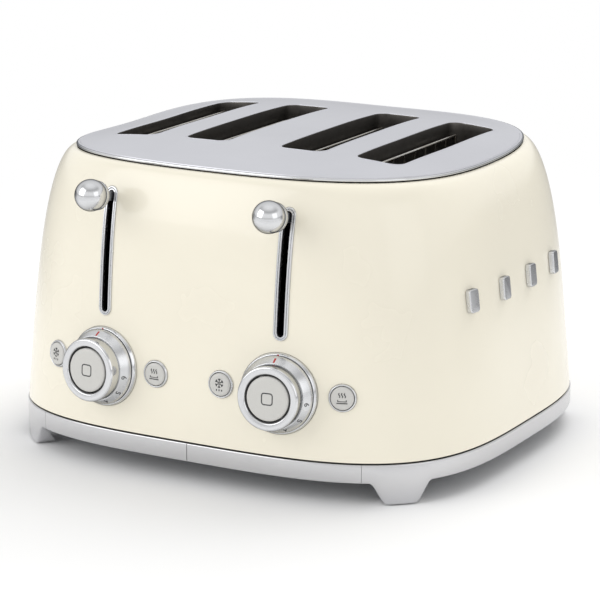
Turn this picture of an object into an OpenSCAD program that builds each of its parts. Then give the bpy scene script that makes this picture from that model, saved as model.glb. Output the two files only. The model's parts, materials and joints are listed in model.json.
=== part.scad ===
// Four-slice pop-up toaster with two levers, two browning dials, six buttons and two crumb trays.
// The frame is centred on the overall box, +Z up, -Y at the controls, with z = 0 at the rubber feet.

/* [Body] */
// Width of the painted shell at its lower edge
body_w = 328; // [326:1:330]
// Depth of the painted shell at its lower edge
body_d = 290.2; // [289:0.2:292]
// Height of the shell's lower edge
shell_z = 27; // [26.8:0.1:27.4]
// Height of the shell's upper edge
rim_z = 191.6; // [191:0.1:192.5]
// Even draw-in of the wall from the lower to the upper edge
draw_in = 11; // [10:0.5:12]
// Extra draw-in of the rounded shoulder
curl_in = 19.4; // [18.5:0.1:20]
// Draw-in of the front and back against that of the sides
depth_share = 0.79; // [0.76:0.01:0.82]
// Squareness of the outline at the lower edge
square_low = 3.44; // [3.2:0.02:3.6]
// Squareness of the outline at the upper edge
square_high = 3.16; // [3:0.02:3.3]
// Thickness of the pressed steel shell
shell_t = 1; // [0.8:0.1:1.2]

/* [Top plate] */
// Rise of the dome over its edge
dome_h = 9.4; // [8:0.2:11]
// Thickness of the plate
plate_t = 1.2; // [1:0.1:1.4]
// Width of one bread slot
slot_w = 32.4; // [31:0.2:33]
// Length of one bread slot
slot_l = 140.4; // [138:0.2:142]
// Distance of the inner slots from the middle plane
slot_in_x = 34.45; // [34:0.05:35]
// Distance of the outer slots from the middle plane
slot_out_x = 88.2; // [87.8:0.05:88.6]
// Middle of the slots, behind the middle of the body
slot_y = 5.75; // [5:0.25:6.5]

/* [Base] */
// Height of the chrome band's upper edge
band_z = 26; // [25.8:0.1:26]
// Height of the band's lower edge between the feet
band_low_z = 14.25; // [14:0.05:14.3]
// How far the band stands out of the shell
band_out = 0.6; // [0.4:0.1:0.8]
// Outer seam of each crumb tray front
tray_seam_x = 115; // [113:0.5:116]

/* [Controls] */
// Distance of lever, dial and stop button from the middle plane
control_x = 62.95; // [62.5:0.05:63.4]
// Height of the dials
dial_z = 66.1; // [65.5:0.1:66.8]
// Radius of the fixed ring behind the dial
ring_r = 25.4; // [25:0.1:25.8]
// Radius of the dial's front drum
knob_r = 20; // [19.5:0.1:20.4]
// Radius of the stop button
stop_r = 13.8; // [13:0.1:14]
// Distance of the small buttons from the dial's middle
button_dx = 39.5; // [39:0.1:40]
// Radius of the small buttons' bezels
bezel_r = 8.7; // [8.4:0.1:9]
// Lower end of the lever slot's trim
slot_low_z = 98.5; // [98:0.1:99]
// Upper end of the lever slot's trim
slot_high_z = 178.9; // [178:0.1:179.5]
// Radius of the lever's ball
ball_r = 10; // [9.5:0.1:10.4]
// Travel of the lever and the bread lifts
lift_travel = 68; // [60:1:68]

/* [Hidden] */
$fn = 64;

half_w = body_w / 2;
half_d = body_d / 2;
LEFT = -1;
RIGHT = 1;
SIDES = [LEFT, RIGHT];
slots = [slot_in_x, slot_out_x];
slot_pitch = slot_out_x - slot_in_x;
slot_r = 8;

// lever ball: its middle, and the tilt of its stem
ball_y = -152.4;
ball_z = 177.5;
arm_tilt = 12;

// the whole box is centred on y = 0
body_y = (-(ball_y - ball_r) - (half_d + band_out)) / 2;

// inner frame that holds the heaters and the two carriages
front_y = -76;
rear_y = 86;
sheet_t = 0.8;
frame_x = 119;
frame_low_z = 28;
frame_high_z = 178;
bracket_z = 184;
rod_r = 3;
rod_y = -95;
run_gap = 0.05;
seat_gap = 0.1;
block_low_z = 150;
block_high_z = 176;
bar_y = -84;
lift_z = 103;
guide_x = 12.5;
guide_bar = 1.6;
board_y = -117;
board_t = 1.6;

// ---- shape of the painted shell ----

function squircle(t, n) = pow(pow(abs(cos(t)), n) + pow(abs(sin(t)), n), -1 / n);
// draw-in of the side walls at a share u of the shell's height
function draw(u) = draw_in * u + curl_in * (1 - pow(1 - pow(u, 3.6), 1 / 2.2));
// the rim sinks a little towards the sides
function rim_wave(t) = -1.89 * cos(2 * t) - 0.76 * cos(4 * t);
function outline(a, b, n, z, wave = 0, count = 72) = [
    for (i = [0 : count - 1])
        let (t = 360 * i / count, r = squircle(t, n))
        [a * r * cos(t), b * r * sin(t), z + wave * rim_wave(t)]
];
// one level of the shell, moved inwards by skin along the wall's own normal
function shell_ring(u, skin) =
    let (
        step = 0.004,
        slope = (draw(min(1, u + step)) - draw(u - step)) / ((rim_z - shell_z) * 2 * step),
        length = sqrt(1 + slope * slope),
        s = draw(u) + (u > 0 ? skin / length : skin),
        drop = u > 0 ? skin * slope / length : 0
    )
    outline(
        half_w - s, half_d - depth_share * draw(u) - (s - draw(u)),
        square_low + (square_high - square_low) * u,
        shell_z + (rim_z - shell_z) * u - drop, pow(u, 4)
    );
shell_steps = 12;
shell_levels = [for (i = [0 : shell_steps]) 1 - pow(1 - i / shell_steps, 1.7)];

function share(z) = (z - shell_z) / (rim_z - shell_z);
// y of the shell's front face and x of its side face
function face_y(x, z) =
    let (
        u = share(z), s = draw(u), n = square_low + (square_high - square_low) * u
    )
    -(half_d - depth_share * s) * pow(1 - pow(abs(x) / (half_w - s), n), 1 / n);
function side_x(y, z) =
    let (
        u = share(z), s = draw(u), n = square_low + (square_high - square_low) * u
    )
    (half_w - s) * pow(1 - pow(abs(y) / (half_d - depth_share * s), n), 1 / n);
function turn_out(x, z) = atan((face_y(x + 0.5, z) - face_y(x - 0.5, z)));
function tilt_up(x, z) = atan((face_y(x, z + 0.5) - face_y(x, z - 0.5)));

// ---- builders ----

// closed skin over a list of loops with the same number of points
module skin(loops, caps = false) {
    m = len(loops[0]);
    k = len(loops);
    last = caps ? k - 2 : k - 1;
    sides = [
        for (j = [0 : last], i = [0 : m - 1])
            let (
                a = j * m + i, b = j * m + (i + 1) % m,
                c = ((j + 1) % k) * m + (i + 1) % m, d = ((j + 1) % k) * m + i
            )
            each [[a, c, b], [a, d, c]]
    ];
    ends = caps ? [[for (i = [0 : m - 1]) i], [for (i = [m - 1 : -1 : 0]) (k - 1) * m + i]] : [];
    points = [for (loop = loops) each loop];
    polyhedron(points = points, faces = concat(sides, ends));
}

// moves a piece from the body's own middle to the common frame
module place() {
    translate([0, body_y, 0]) children();
}

// mirrors a piece that is drawn for the right-hand side
module on_side(side) {
    mirror([side < 0 ? 1 : 0, 0, 0]) children();
}

// puts a piece on the front face, its own +Z pointing out of the face
module on_front(x, z) {
    translate([x, face_y(x, z), z])
        rotate([0, 0, turn_out(x, z)])
            rotate([90 - tilt_up(x, z), 0, 0])
                children();
}

// the same on the back face
module on_back(x, z) {
    rotate([0, 0, 180]) on_front(x, z) children();
}

module rounded(w, l, r) {
    square([w - 2 * r, l], center = true);
    square([w, l - 2 * r], center = true);
    for (sx = [-1, 1], sy = [-1, 1]) {
        translate([sx * (w / 2 - r), sy * (l / 2 - r)]) circle(r);
    }
}

module squircle_area(inset) {
    loop = outline(half_w + band_out - inset, half_d + band_out - inset, square_low, 0, 0, 144);
    polygon([for (p = loop) [p.x, p.y]]);
}

// box given by its two opposite corners
module block(low, high) {
    translate(low) cube(high - low);
}

// ---- outer shell ----

// lever slot: outer and inner radius of its trim
trim_r = 4.75;
trim_bore = 2.85;

module lever_slot_hole() {
    r = trim_r + run_gap;
    translate([0, -90, 0])
        rotate([90, 0, 0])
            linear_extrude(80) {
                translate([-r, slot_low_z + trim_r]) square([2 * r, slot_high_z - slot_low_z - 2 * trim_r]);
                translate([0, slot_low_z + trim_r]) circle(r);
                translate([0, slot_high_z - trim_r]) circle(r);
            }
}

module body_shell() {
    outer = [for (u = shell_levels) shell_ring(u, 0)];
    inner = [for (i = [shell_steps : -1 : 0]) shell_ring(shell_levels[i], shell_t)];
    color("#f5eee3")
        place()
            difference() {
                skin(concat(outer, inner));
                for (side = SIDES) {
                    translate([side * control_x, 0, 0]) lever_slot_hole();
                    on_front(side * control_x, dial_z)
                        translate([0, 0, -9]) cylinder(r = ring_r + seat_gap, h = 15);
                    for (dx = [-button_dx, button_dx]) {
                        on_front(side * control_x + dx, button_z)
                            translate([0, 0, -7]) cylinder(r = bezel_r + seat_gap, h = 12);
                    }
                }
                on_back(0, gland_z) translate([0, 0, -10]) cylinder(r = gland_r + seat_gap, h = 20);
            }
}

plate_a = half_w - draw_in - curl_in + 0.3;
plate_b = half_d - depth_share * (draw_in + curl_in) + 0.3;
plate_edge = 1.8;
plate_z = rim_z + 0.8;

// one loop of the dome at a share p of its half widths
function dome_ring(p, drop) = outline(
    (plate_a - drop * 0.4) * p, (plate_b - drop * 0.4) * p, square_high,
    plate_z + plate_edge + (dome_h - plate_edge) * (1 - pow(p, square_high)) - drop, pow(p, 4), 64
);

module slot_holes(extra) {
    for (side = SIDES, x = slots) {
        translate([side * x, slot_y, 160])
            linear_extrude(60) rounded(slot_w + 2 * extra, slot_l + 2 * extra, slot_r + extra);
    }
}

module top_plate() {
    shares = [1, 0.985, 0.95, 0.9, 0.82, 0.7, 0.55, 0.35, 0.12];
    edge = outline(plate_a - 0.5, plate_b - 0.5, square_high, plate_z, 1, 64);
    inner_edge = outline(plate_a - 2, plate_b - 2, square_high, plate_z, 1, 64);
    upper = [for (i = [len(shares) - 1 : -1 : 0]) dome_ring(shares[i], 0)];
    lower = [for (p = shares) dome_ring(p, plate_t)];
    color("#c9cad2")
        place()
            difference() {
                skin(concat(upper, [edge, inner_edge], [for (i = [1 : 8]) lower[i]]), caps = true);
                slot_holes(0);
            }
}

module plate_seal() {
    low = rim_z + 0.05;
    high = plate_z - 0.05;
    loops = [
        for (spec = [[1.2, low], [1.2, high], [4, high], [4, low]])
            outline(plate_a - spec[0], plate_b - spec[0], square_high, spec[1], 1, 64)
    ];
    color("#2a2a2a") place() skin(loops);
}

module slot_chutes() {
    wall = 0.6;
    low = 180;
    high = 193.4;
    color("#6d6a66")
        place()
            for (side = SIDES, x = slots) {
                translate([side * x, slot_y, low])
                    linear_extrude(high - low)
                        difference() {
                            rounded(slot_w + 2 * wall, slot_l + 2 * wall, slot_r + wall);
                            rounded(slot_w, slot_l, slot_r);
                        }
            }
}

// ---- base ----

foot_x = 133.5;
foot_y = 116;
foot_flat = 9;
foot_spread = 20;
foot_low_z = 0.8;
band_t = 1.6;
plate_low_z = 14.4;
plate_top_z = plate_low_z + sheet_t;
screw_x = 114;
screw_in = 5;
screw_clear_r = 1.7;

function ease(v) = v * v * (3 - 2 * v);
// 1 on a foot, 0 between the feet
function foot_share(p) =
    let (d = norm([abs(p.x) - foot_x, abs(p.y) - foot_y]))
    1 - ease(max(0, min(1, (d - foot_flat) / (foot_spread - foot_flat))));
function band_loop(inset, z) = outline(
    half_w + band_out - inset, half_d + band_out - inset, square_low, z, 0, 144
);
function footed_loop(inset, foot_inset) =
    let (plain = band_loop(inset, band_low_z), deep = band_loop(inset + foot_inset, band_low_z))
    [
        for (i = [0 : len(plain) - 1])
            let (f = foot_share(plain[i]), p = plain[i] * (1 - f) + deep[i] * f)
            [p.x, p.y, band_low_z + (foot_low_z - band_low_z) * f]
    ];

module band_ring() {
    skin([
        footed_loop(0, 0), band_loop(0, band_z), band_loop(band_t, band_z),
        band_loop(band_t, band_low_z + 0.05), footed_loop(band_t, 10)
    ]);
}

module base_band() {
    color("#d4d4d6")
        place()
            difference() {
                band_ring();
                block([-tray_seam_x, -half_d - 5, 13], [tray_seam_x, -80, band_z + 1]);
            }
}

module base_seal() {
    outer = 1.6;
    inner = 6;
    color("#2a2a2a")
        place()
            translate([0, 0, band_z + 0.05])
                linear_extrude(shell_z - band_z - 0.1)
                    difference() {
                        squircle_area(band_out + outer);
                        squircle_area(band_out + inner);
                    }
}

module bottom_plate() {
    vent_l = 70;
    vent_w = 5;
    vent_step = 22;
    color("#8f9092")
        place()
            translate([0, 0, plate_low_z])
                linear_extrude(sheet_t)
                    difference() {
                        squircle_area(band_t + 0.6);
                        for (side = SIDES, y = [front_y + screw_in, rear_y - screw_in]) {
                            translate([side * screw_x, y]) circle(screw_clear_r);
                        }
                        for (side = SIDES, i = [0 : 6]) {
                            translate([side * 57, -60 + vent_step * i]) rounded(vent_l, vent_w, 2.4);
                        }
                    }
}

pad_r = 4.5;
pad_in = 4;

module foot_pads() {
    color("#3a3a3a")
        place()
            for (sx = [-1, 1], sy = [-1, 1]) {
                translate([sx * (foot_x - pad_in), sy * (foot_y - pad_in), 0])
                    cylinder(r = pad_r, h = foot_low_z);
            }
}

screw_r = 1.5;
head_r = 3.2;
head_h = 1.8;
screw_h = 7;

module base_screws() {
    color("#9a9a9c")
        place()
            for (side = SIDES, y = [front_y + screw_in, rear_y - screw_in]) {
                translate([side * screw_x, y, plate_low_z - head_h])
                    union() {
                        cylinder(r = head_r, h = head_h);
                        cylinder(r = screw_r, h = screw_h);
                    }
            }
}

hook_x = 40;
hook_w = 24;
hook_y = 104;
hook_stem = 6;
hook_reach = 18;
hook_z = 6;
hook_t = 2;

module cord_hooks() {
    color("#3a3a3a")
        place()
            for (side = SIDES) {
                left = side * hook_x - hook_w / 2;
                block([left, hook_y, hook_z + hook_t], [left + hook_w, hook_y + hook_stem, plate_low_z]);
                block([left, hook_y, hook_z], [left + hook_w, hook_y + hook_reach, hook_z + hook_t]);
            }
}

gland_z = 46;
gland_r = 7.5;
gland_bore = 3.6;
gland_l = 8;
flange_r = 9;
flange_t = 1.2;
flange_gap = 0.1;

module cord_gland() {
    color("#3a3a3a")
        place()
            on_back(0, gland_z)
                difference() {
                    union() {
                        translate([0, 0, flange_gap - gland_l]) cylinder(r = gland_r, h = gland_l);
                        translate([0, 0, flange_gap]) cylinder(r = flange_r, h = flange_t);
                    }
                    translate([0, 0, -10]) cylinder(r = gland_bore, h = 14);
                }
}

module terminal_block() {
    wide = 36;
    deep = 14;
    low = 36;
    high = 48;
    color("#e8e4da")
        place()
            difference() {
                block([-wide / 2, rear_y + sheet_t, low], [wide / 2, rear_y + deep, high]);
                for (i = [-1 : 1]) {
                    translate([wide / 3 * i, rear_y + 8, low + 4]) cylinder(r = 2.5, h = 10);
                }
            }
}

// row of plain tiles on each side wall
tile_ys = [-63, -24.5, 14, 52];
tile_z = 117.7;
tile_w = 9;
tile_h = 14.5;
tile_t = 3.4;
tile_r = 2;

module side_tiles() {
    color("#dfe0e2")
        place()
            for (side = SIDES, y = tile_ys) {
                on_side(side)
                    translate([side_x(y, tile_z) + 0.25, y, tile_z])
                        rotate([0, -atan(side_x(y, tile_z - 0.5) - side_x(y, tile_z + 0.5)), 0])
                            rotate([90, 0, 90 + atan(side_x(y - 0.5, tile_z) - side_x(y + 0.5, tile_z))])
                                linear_extrude(tile_t) rounded(tile_w, tile_h, tile_r);
            }
}

// ---- inner frame and heaters ----

leg_w = 6;
mid_leg_w = 7;
flange_l = 10;

// front or rear sheet, on three legs, two of them with a foot turned to the middle and screwed down
module bulkhead_sheet(y, dir) {
    foot_y_low = dir > 0 ? y : y + sheet_t - flange_l;
    difference() {
        union() {
            block([-frame_x, y, frame_low_z], [frame_x, y + sheet_t, frame_high_z]);
            for (side = SIDES) {
                x = side * screw_x - leg_w / 2;
                block([x, y, plate_top_z], [x + leg_w, y + sheet_t, frame_low_z]);
                block([x, foot_y_low, plate_top_z],
                      [x + leg_w, foot_y_low + flange_l, plate_top_z + sheet_t]);
            }
            block([-mid_leg_w / 2, y, plate_top_z], [mid_leg_w / 2, y + sheet_t, frame_low_z]);
        }
        for (side = SIDES) {
            translate([side * screw_x, dir > 0 ? front_y + screw_in : rear_y - screw_in, plate_top_z - 1])
                cylinder(r = 1.6, h = 4);
        }
    }
}

// bracket over the springs, seats of the guide rod, slots for the bread lifts
bracket_in_x = 30;
bracket_out_x = 96;
rod_seat = 9;
lift_slot_w = 4.4;

module front_bulkhead() {
    color("#a5a6a8")
        place()
            difference() {
                union() {
                    bulkhead_sheet(front_y, 1);
                    for (side = SIDES) {
                        on_side(side) {
                            block([bracket_in_x, front_y, frame_high_z],
                                  [bracket_out_x, front_y + sheet_t, bracket_z + sheet_t]);
                            block([bracket_in_x, rod_y - rod_seat, bracket_z],
                                  [bracket_out_x, front_y + sheet_t, bracket_z + sheet_t]);
                            block([control_x - rod_seat, rod_y - rod_seat, frame_low_z],
                                  [control_x + rod_seat, front_y + sheet_t, frame_low_z + sheet_t]);
                        }
                    }
                }
                for (side = SIDES) {
                    on_side(side) {
                        translate([control_x, rod_y, 20]) cylinder(r = rod_r + run_gap, h = 180);
                        for (x = slots) {
                            block([x - lift_slot_w / 2, front_y - 1, lift_z - lift_travel - 3],
                                  [x + lift_slot_w / 2, front_y + 2, lift_z + 9]);
                        }
                    }
                }
            }
}

module rear_bulkhead() {
    color("#a5a6a8") place() bulkhead_sheet(rear_y, -1);
}

module side_shield(side) {
    color("#a5a6a8")
        place()
            on_side(side)
                block([frame_x, front_y, frame_low_z], [frame_x + sheet_t, rear_y + sheet_t, frame_high_z]);
}

heater_xs = [
    -(slot_out_x + slot_pitch / 2), -(slot_in_x + slot_pitch / 2), -(slot_in_x - slot_pitch / 2),
    slot_in_x - slot_pitch / 2, slot_in_x + slot_pitch / 2, slot_out_x + slot_pitch / 2
];
heater_t = 1;
heater_low_z = 44;
heater_high_z = 168;
heater_gap = 0.3;

module heater_board(number) {
    x = heater_xs[number - 1];
    color("#cbb89a")
        place()
            block([x - heater_t / 2, front_y + sheet_t + heater_gap, heater_low_z],
                  [x + heater_t / 2, rear_y - heater_gap, heater_high_z]);
}

// nichrome ribbons on the faces that look at the bread
module heater_ribbons() {
    thick = 0.4;
    wide = 2.2;
    low_z = 50;
    step = 13;
    front = -66;
    back = 78;
    color("#8a7f78")
        place()
            for (side = SIDES, k = [0 : 2], face = [-1, 1], i = [0 : 8]) {
                x = slot_in_x + slot_pitch * (k - 0.5);
                if (!(k == 0 && face < 0) && !(k == 2 && face > 0)) {
                    low = x + min(face * heater_t / 2, face * (heater_t / 2 + thick));
                    z = low_z + step * i;
                    on_side(side) block([low, front, z], [low + thick, back, z + wide]);
                }
            }
}

// ---- carriage guides, magnets and electronics ----

rod_low_z = 26.5;
rod_l = 159.5;

module guide_rod(side) {
    color("#b8b9bb")
        place()
            on_side(side)
                translate([control_x, rod_y, rod_low_z]) cylinder(r = rod_r, h = rod_l);
}

magnet_x = 48;
magnet_y = -88;
armature_t = 3;

// foot, coil and core, which stops just under the carriage's lowest place
module magnet(side) {
    foot_w = 12;
    foot_z = 50;
    coil_z = 54;
    coil_h = 18;
    coil_r = 5.5;
    core_r = 3;
    core_z = coil_z + coil_h;
    color("#7c4f2a")
        place()
            on_side(side)
                union() {
                    block([magnet_x - foot_w / 2, magnet_y - 8, foot_z],
                          [magnet_x + foot_w / 2, front_y, coil_z]);
                    translate([magnet_x, magnet_y, coil_z]) cylinder(r = coil_r, h = coil_h);
                    translate([magnet_x, magnet_y, core_z])
                        cylinder(r = core_r, h = block_low_z - armature_t - lift_travel - 0.3 - core_z);
                }
}

module control_board(side) {
    low = 42;
    high = 92;
    in_x = 14;
    out_x = 112;
    post_r = 2.5;
    switch_w = 8;
    color("#3f6b4a")
        place()
            on_side(side)
                union() {
                    block([in_x, board_y, low], [out_x, board_y + board_t, high]);
                    for (x = [in_x + 6, out_x - 6]) {
                        translate([x, front_y, low + 8])
                            rotate([90, 0, 0]) cylinder(r = post_r, h = front_y - board_y - board_t + 0.2);
                    }
                    for (x = [in_x + 12, out_x - 14]) {
                        block([x - switch_w / 2, board_y - 3, dial_z - switch_w / 2],
                              [x + switch_w / 2, board_y + 0.2, dial_z + switch_w / 2]);
                    }
                }
}

shaft_r = 5;
button_z = dial_z + 0.7;

module dial_switch(side) {
    color("#6e7074")
        place()
            on_front(side * control_x, dial_z)
                difference() {
                    union() {
                        translate([0, 0, -22.4]) cylinder(r = 11, h = 8);
                        translate([0, 0, -15]) cylinder(r = 7.5, h = 3);
                    }
                    translate([0, 0, -30]) cylinder(r = shaft_r + run_gap, h = 30);
                }
}

// ---- trims on the front face ----

// stadium loop around the lever slot, proud of the face by out
function trim_loop(side, r, out) =
    let (low = slot_low_z + trim_r, high = slot_high_z - trim_r)
    [
        for (end = [0, 1], i = [0 : 12])
            let (
                t = 180 * end + 15 * i,
                x = side * control_x + r * cos(t),
                z = (end == 0 ? high : low) + r * sin(t)
            )
            [x, face_y(x, z) - out, z]
    ];

module lever_trim(side) {
    loops = [
        for (spec = [[trim_r, -2], [trim_r, 1], [trim_bore, 1], [trim_bore, -2]])
            trim_loop(side, spec[0], spec[1])
    ];
    color("#dcdddf") place() skin(loops);
}

module dial_ring(side) {
    color("#dcdddf")
        place()
            on_front(side * control_x, dial_z)
                rotate_extrude()
                    polygon([
                        [shaft_r + 0.5, -3], [ring_r, -3], [ring_r, 0.8], [ring_r - 0.5, 1.8],
                        [ring_r - 1.3, 2.2], [shaft_r + 0.5, 2.2]
                    ]);
}

cap_r = 7.2;

module button_bezels() {
    color("#dcdddf")
        place()
            for (side = SIDES, dx = [-button_dx, button_dx]) {
                on_front(side * control_x + dx, button_z)
                    rotate_extrude()
                        polygon([
                            [cap_r + 0.25, -3], [bezel_r, -3], [bezel_r, 0.7], [bezel_r - 0.5, 1.4],
                            [cap_r + 0.25, 1.4]
                        ]);
            }
}

// ---- moving pieces ----

module carriage(side) {
    block_w = 14;
    bar_in_x = 30;
    bar_out_x = 93;
    bar_deep = 6;
    bar_h = 10;
    color("#b0b1b3")
        place()
            on_side(side)
                difference() {
                    union() {
                        block([control_x - block_w / 2, rod_y - 6, block_low_z],
                              [control_x + block_w / 2, bar_y, block_high_z]);
                        block([bar_in_x, bar_y - bar_deep, block_low_z],
                              [bar_out_x, bar_y, block_low_z + bar_h]);
                        block([magnet_x - 5.5, magnet_y - 6, block_low_z - armature_t],
                              [magnet_x + 5.5, bar_y, block_low_z]);
                        lever_arm();
                    }
                    translate([control_x, rod_y, block_low_z - 5]) cylinder(r = rod_r + run_gap, h = 40);
                }
}

// flat arm that leaves through the lever slot and rises to the ball
module lever_arm() {
    slot_cross = -129;
    low = 169.6;
    high = low + 6;
    thick = 2;
    tip_y = ball_y + 5;
    rise = (slot_cross - tip_y) * tan(arm_tilt);
    translate([control_x + thick / 2, 0, 0])
        rotate([90, 0, -90])
            linear_extrude(thick)
                polygon([
                    [-rod_y + 5, low], [-slot_cross, low], [-tip_y, low + rise],
                    [-tip_y, high + rise], [-slot_cross, high], [-rod_y + 5, high]
                ]);
}

module lever_ball(side) {
    color("#e4e5e7")
        place()
            translate([side * control_x, ball_y, ball_z])
                rotate([-90 - arm_tilt, 0, 0])
                    union() {
                        sphere(ball_r);
                        cylinder(r = ball_r - 0.8, h = 7.5);
                    }
}

module bread_lift(side) {
    hanger_w = 10;
    hanger_t = 1.6;
    web_t = 2;
    web_h = 5;
    rail_w = 9;
    rail_t = 1.2;
    front = -62;
    tail = 74;
    color("#b8b9bb")
        place()
            on_side(side)
                for (x = slots) {
                    union() {
                        block([x - hanger_w / 2, bar_y, lift_z],
                              [x + hanger_w / 2, bar_y + hanger_t, block_low_z + 8]);
                        block([x - web_t / 2, bar_y, lift_z], [x + web_t / 2, tail, lift_z + web_h]);
                        block([x - rail_w / 2, front, lift_z + web_h],
                              [x + rail_w / 2, tail, lift_z + web_h + rail_t]);
                    }
                }
}

spring_x = 78;
spring_r = 3.2;

module lift_spring(side) {
    low = block_low_z + 10;
    color("#9a9b9d")
        place()
            on_side(side)
                translate([spring_x, bar_y - 3.3, low])
                    difference() {
                        cylinder(r = spring_r, h = bracket_z - low);
                        translate([0, 0, -1]) cylinder(r = spring_r - 1, h = bracket_z - low + 2);
                    }
}

// profile of the dial: rear end of its shaft, skirt, drum and the cup for the stop button
stop_bore = 3.2;
cup_z = 9;
knob_rear_z = -22;
skirt_r = 23.8;
skirt_z = 2.6;
drum_z = 9.5;
knob_face_z = 17.5;

module dial_knob(side) {
    color("#e2e3e4")
        place()
            on_front(side * control_x, dial_z)
                rotate_extrude()
                    polygon([
                        [stop_bore, knob_rear_z], [shaft_r, knob_rear_z], [shaft_r, skirt_z],
                        [skirt_r, skirt_z], [skirt_r, skirt_z + 1], [skirt_r - 0.5, skirt_z + 2.4],
                        [knob_r + 0.3, drum_z], [knob_r, drum_z + 0.3], [knob_r, knob_face_z - 0.9],
                        [knob_r - 0.7, knob_face_z], [stop_r + 0.8, knob_face_z - 0.2],
                        [stop_r + 0.8, cup_z],
                        [stop_bore, cup_z]
                    ]);
}

module stop_button(side) {
    stem_r = 2.9;
    under_z = 10.8;
    face_z = 17.4;
    color("#ccccc8")
        place()
            on_front(side * control_x, dial_z)
                rotate_extrude()
                    polygon([
                        [0, knob_rear_z + 1], [stem_r, knob_rear_z + 1], [stem_r, under_z],
                        [stop_r, under_z], [stop_r, face_z - 0.8], [stop_r - 0.6, face_z - 0.2],
                        [0, face_z]
                    ]);
}

module push_button(x) {
    stem_r = 3;
    under_z = -2.4;
    face_z = 2.4;
    color("#d6d6da")
        place()
            on_front(x, button_z)
                rotate_extrude()
                    polygon([
                        [0, -10], [stem_r, -10], [stem_r, under_z], [cap_r, under_z],
                        [cap_r, face_z - 0.8], [cap_r - 0.6, face_z - 0.3], [0, face_z]
                    ]);
}

tray_gap = 0.2;
pan_in_x = 6;
pan_out_x = 108;
pan_low_z = 15.6;
pan_high_z = 24.4;
pan_back_y = 100;

module crumb_tray(side) {
    color("#d4d4d6")
        place()
            on_side(side)
                union() {
                    intersection() {
                        band_ring();
                        block([tray_gap, -half_d - 5, 13], [tray_seam_x - tray_gap, -80, band_z + 1]);
                    }
                    difference() {
                        pan_block(band_t - 0.1, 0, pan_low_z, pan_high_z);
                        pan_block(band_t + sheet_t, sheet_t, pan_low_z + sheet_t, pan_high_z + 1);
                    }
                }
}

// block of the pan's outline, moved inwards by wall
module pan_block(inset, wall, low, high) {
    translate([0, 0, low])
        linear_extrude(high - low)
            intersection() {
                squircle_area(inset);
                translate([pan_in_x + wall, -half_d - 5])
                    square([pan_out_x - pan_in_x - 2 * wall, half_d + 5 + pan_back_y - wall]);
            }
}

// wire grid beside each slot of one pair, joined by two link bars past the ends of the bread
module bread_guide(side, hand) {
    t = guide_bar;
    weld_gap = 0.02;
    low = 50;
    high = 191;
    front = -62;
    back = 73;
    link_front = -71.4;
    link_back = 82.4;
    link_z = hand < 0 ? 173 : 176;
    color("#c4c5c7")
        place()
            for (i = [0, 1]) {
                x = side * slots[i] + hand * guide_x - t / 2;
                union() {
                    for (z = [low, (low + high) / 2, high - t]) {
                        block([x, front, z], [x + t, back, z + t]);
                    }
                    for (j = [0 : 9]) {
                        y = front + (back - front - t) * j / 9;
                        block([x, y, low], [x + t, y + t, high]);
                    }
                    block([x, link_front, link_z], [x + t, front + t, link_z + t]);
                    block([x, back - t, link_z], [x + t, link_back, link_z + t]);
                }
                if (i == 0) {
                    start = min(side * slots[0], side * slots[1]) + hand * guide_x + t / 2 + weld_gap;
                    for (y = [link_front, link_back - t]) {
                        block([start, y, link_z], [start + slot_pitch - t - 2 * weld_gap, y + t, link_z + t]);
                    }
                }
            }
}

body_shell();
top_plate();
plate_seal();
slot_chutes();
base_band();
base_seal();
bottom_plate();
foot_pads();
base_screws();
cord_hooks();
cord_gland();
terminal_block();
side_tiles();
front_bulkhead();
rear_bulkhead();
side_shield(LEFT);  // side_shield_left
side_shield(RIGHT);  // side_shield_right
heater_board(1);  // heater_board_1
heater_board(2);  // heater_board_2
heater_board(3);  // heater_board_3
heater_board(4);  // heater_board_4
heater_board(5);  // heater_board_5
heater_board(6);  // heater_board_6
heater_ribbons();
guide_rod(LEFT);  // guide_rod_left
guide_rod(RIGHT);  // guide_rod_right
magnet(LEFT);  // magnet_left
magnet(RIGHT);  // magnet_right
control_board(LEFT);  // control_board_left
control_board(RIGHT);  // control_board_right
dial_switch(LEFT);  // dial_switch_left
dial_switch(RIGHT);  // dial_switch_right
lever_trim(LEFT);  // lever_trim_left
lever_trim(RIGHT);  // lever_trim_right
dial_ring(LEFT);  // dial_ring_left
dial_ring(RIGHT);  // dial_ring_right
button_bezels();
lift_spring(LEFT);  // lift_spring_left
lift_spring(RIGHT);  // lift_spring_right
carriage(LEFT);  // carriage_left
carriage(RIGHT);  // carriage_right
bread_lift(LEFT);  // bread_lift_left
bread_lift(RIGHT);  // bread_lift_right
lever_ball(LEFT);  // lever_ball_left
lever_ball(RIGHT);  // lever_ball_right
dial_knob(LEFT);  // dial_knob_left
dial_knob(RIGHT);  // dial_knob_right
stop_button(LEFT);  // stop_button_left
stop_button(RIGHT);  // stop_button_right
push_button(-control_x - button_dx);  // defrost_button_left
push_button(control_x - button_dx);  // defrost_button_right
push_button(-control_x + button_dx);  // reheat_button_left
push_button(control_x + button_dx);  // reheat_button_right
crumb_tray(LEFT);  // crumb_tray_left
crumb_tray(RIGHT);  // crumb_tray_right
bread_guide(LEFT, -1);  // bread_guide_left_a
bread_guide(LEFT, 1);  // bread_guide_left_b
bread_guide(RIGHT, -1);  // bread_guide_right_a
bread_guide(RIGHT, 1);  // bread_guide_right_b
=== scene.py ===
import json
import math

import bmesh
import bpy
import numpy as np
from mathutils import Matrix, Vector


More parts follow.
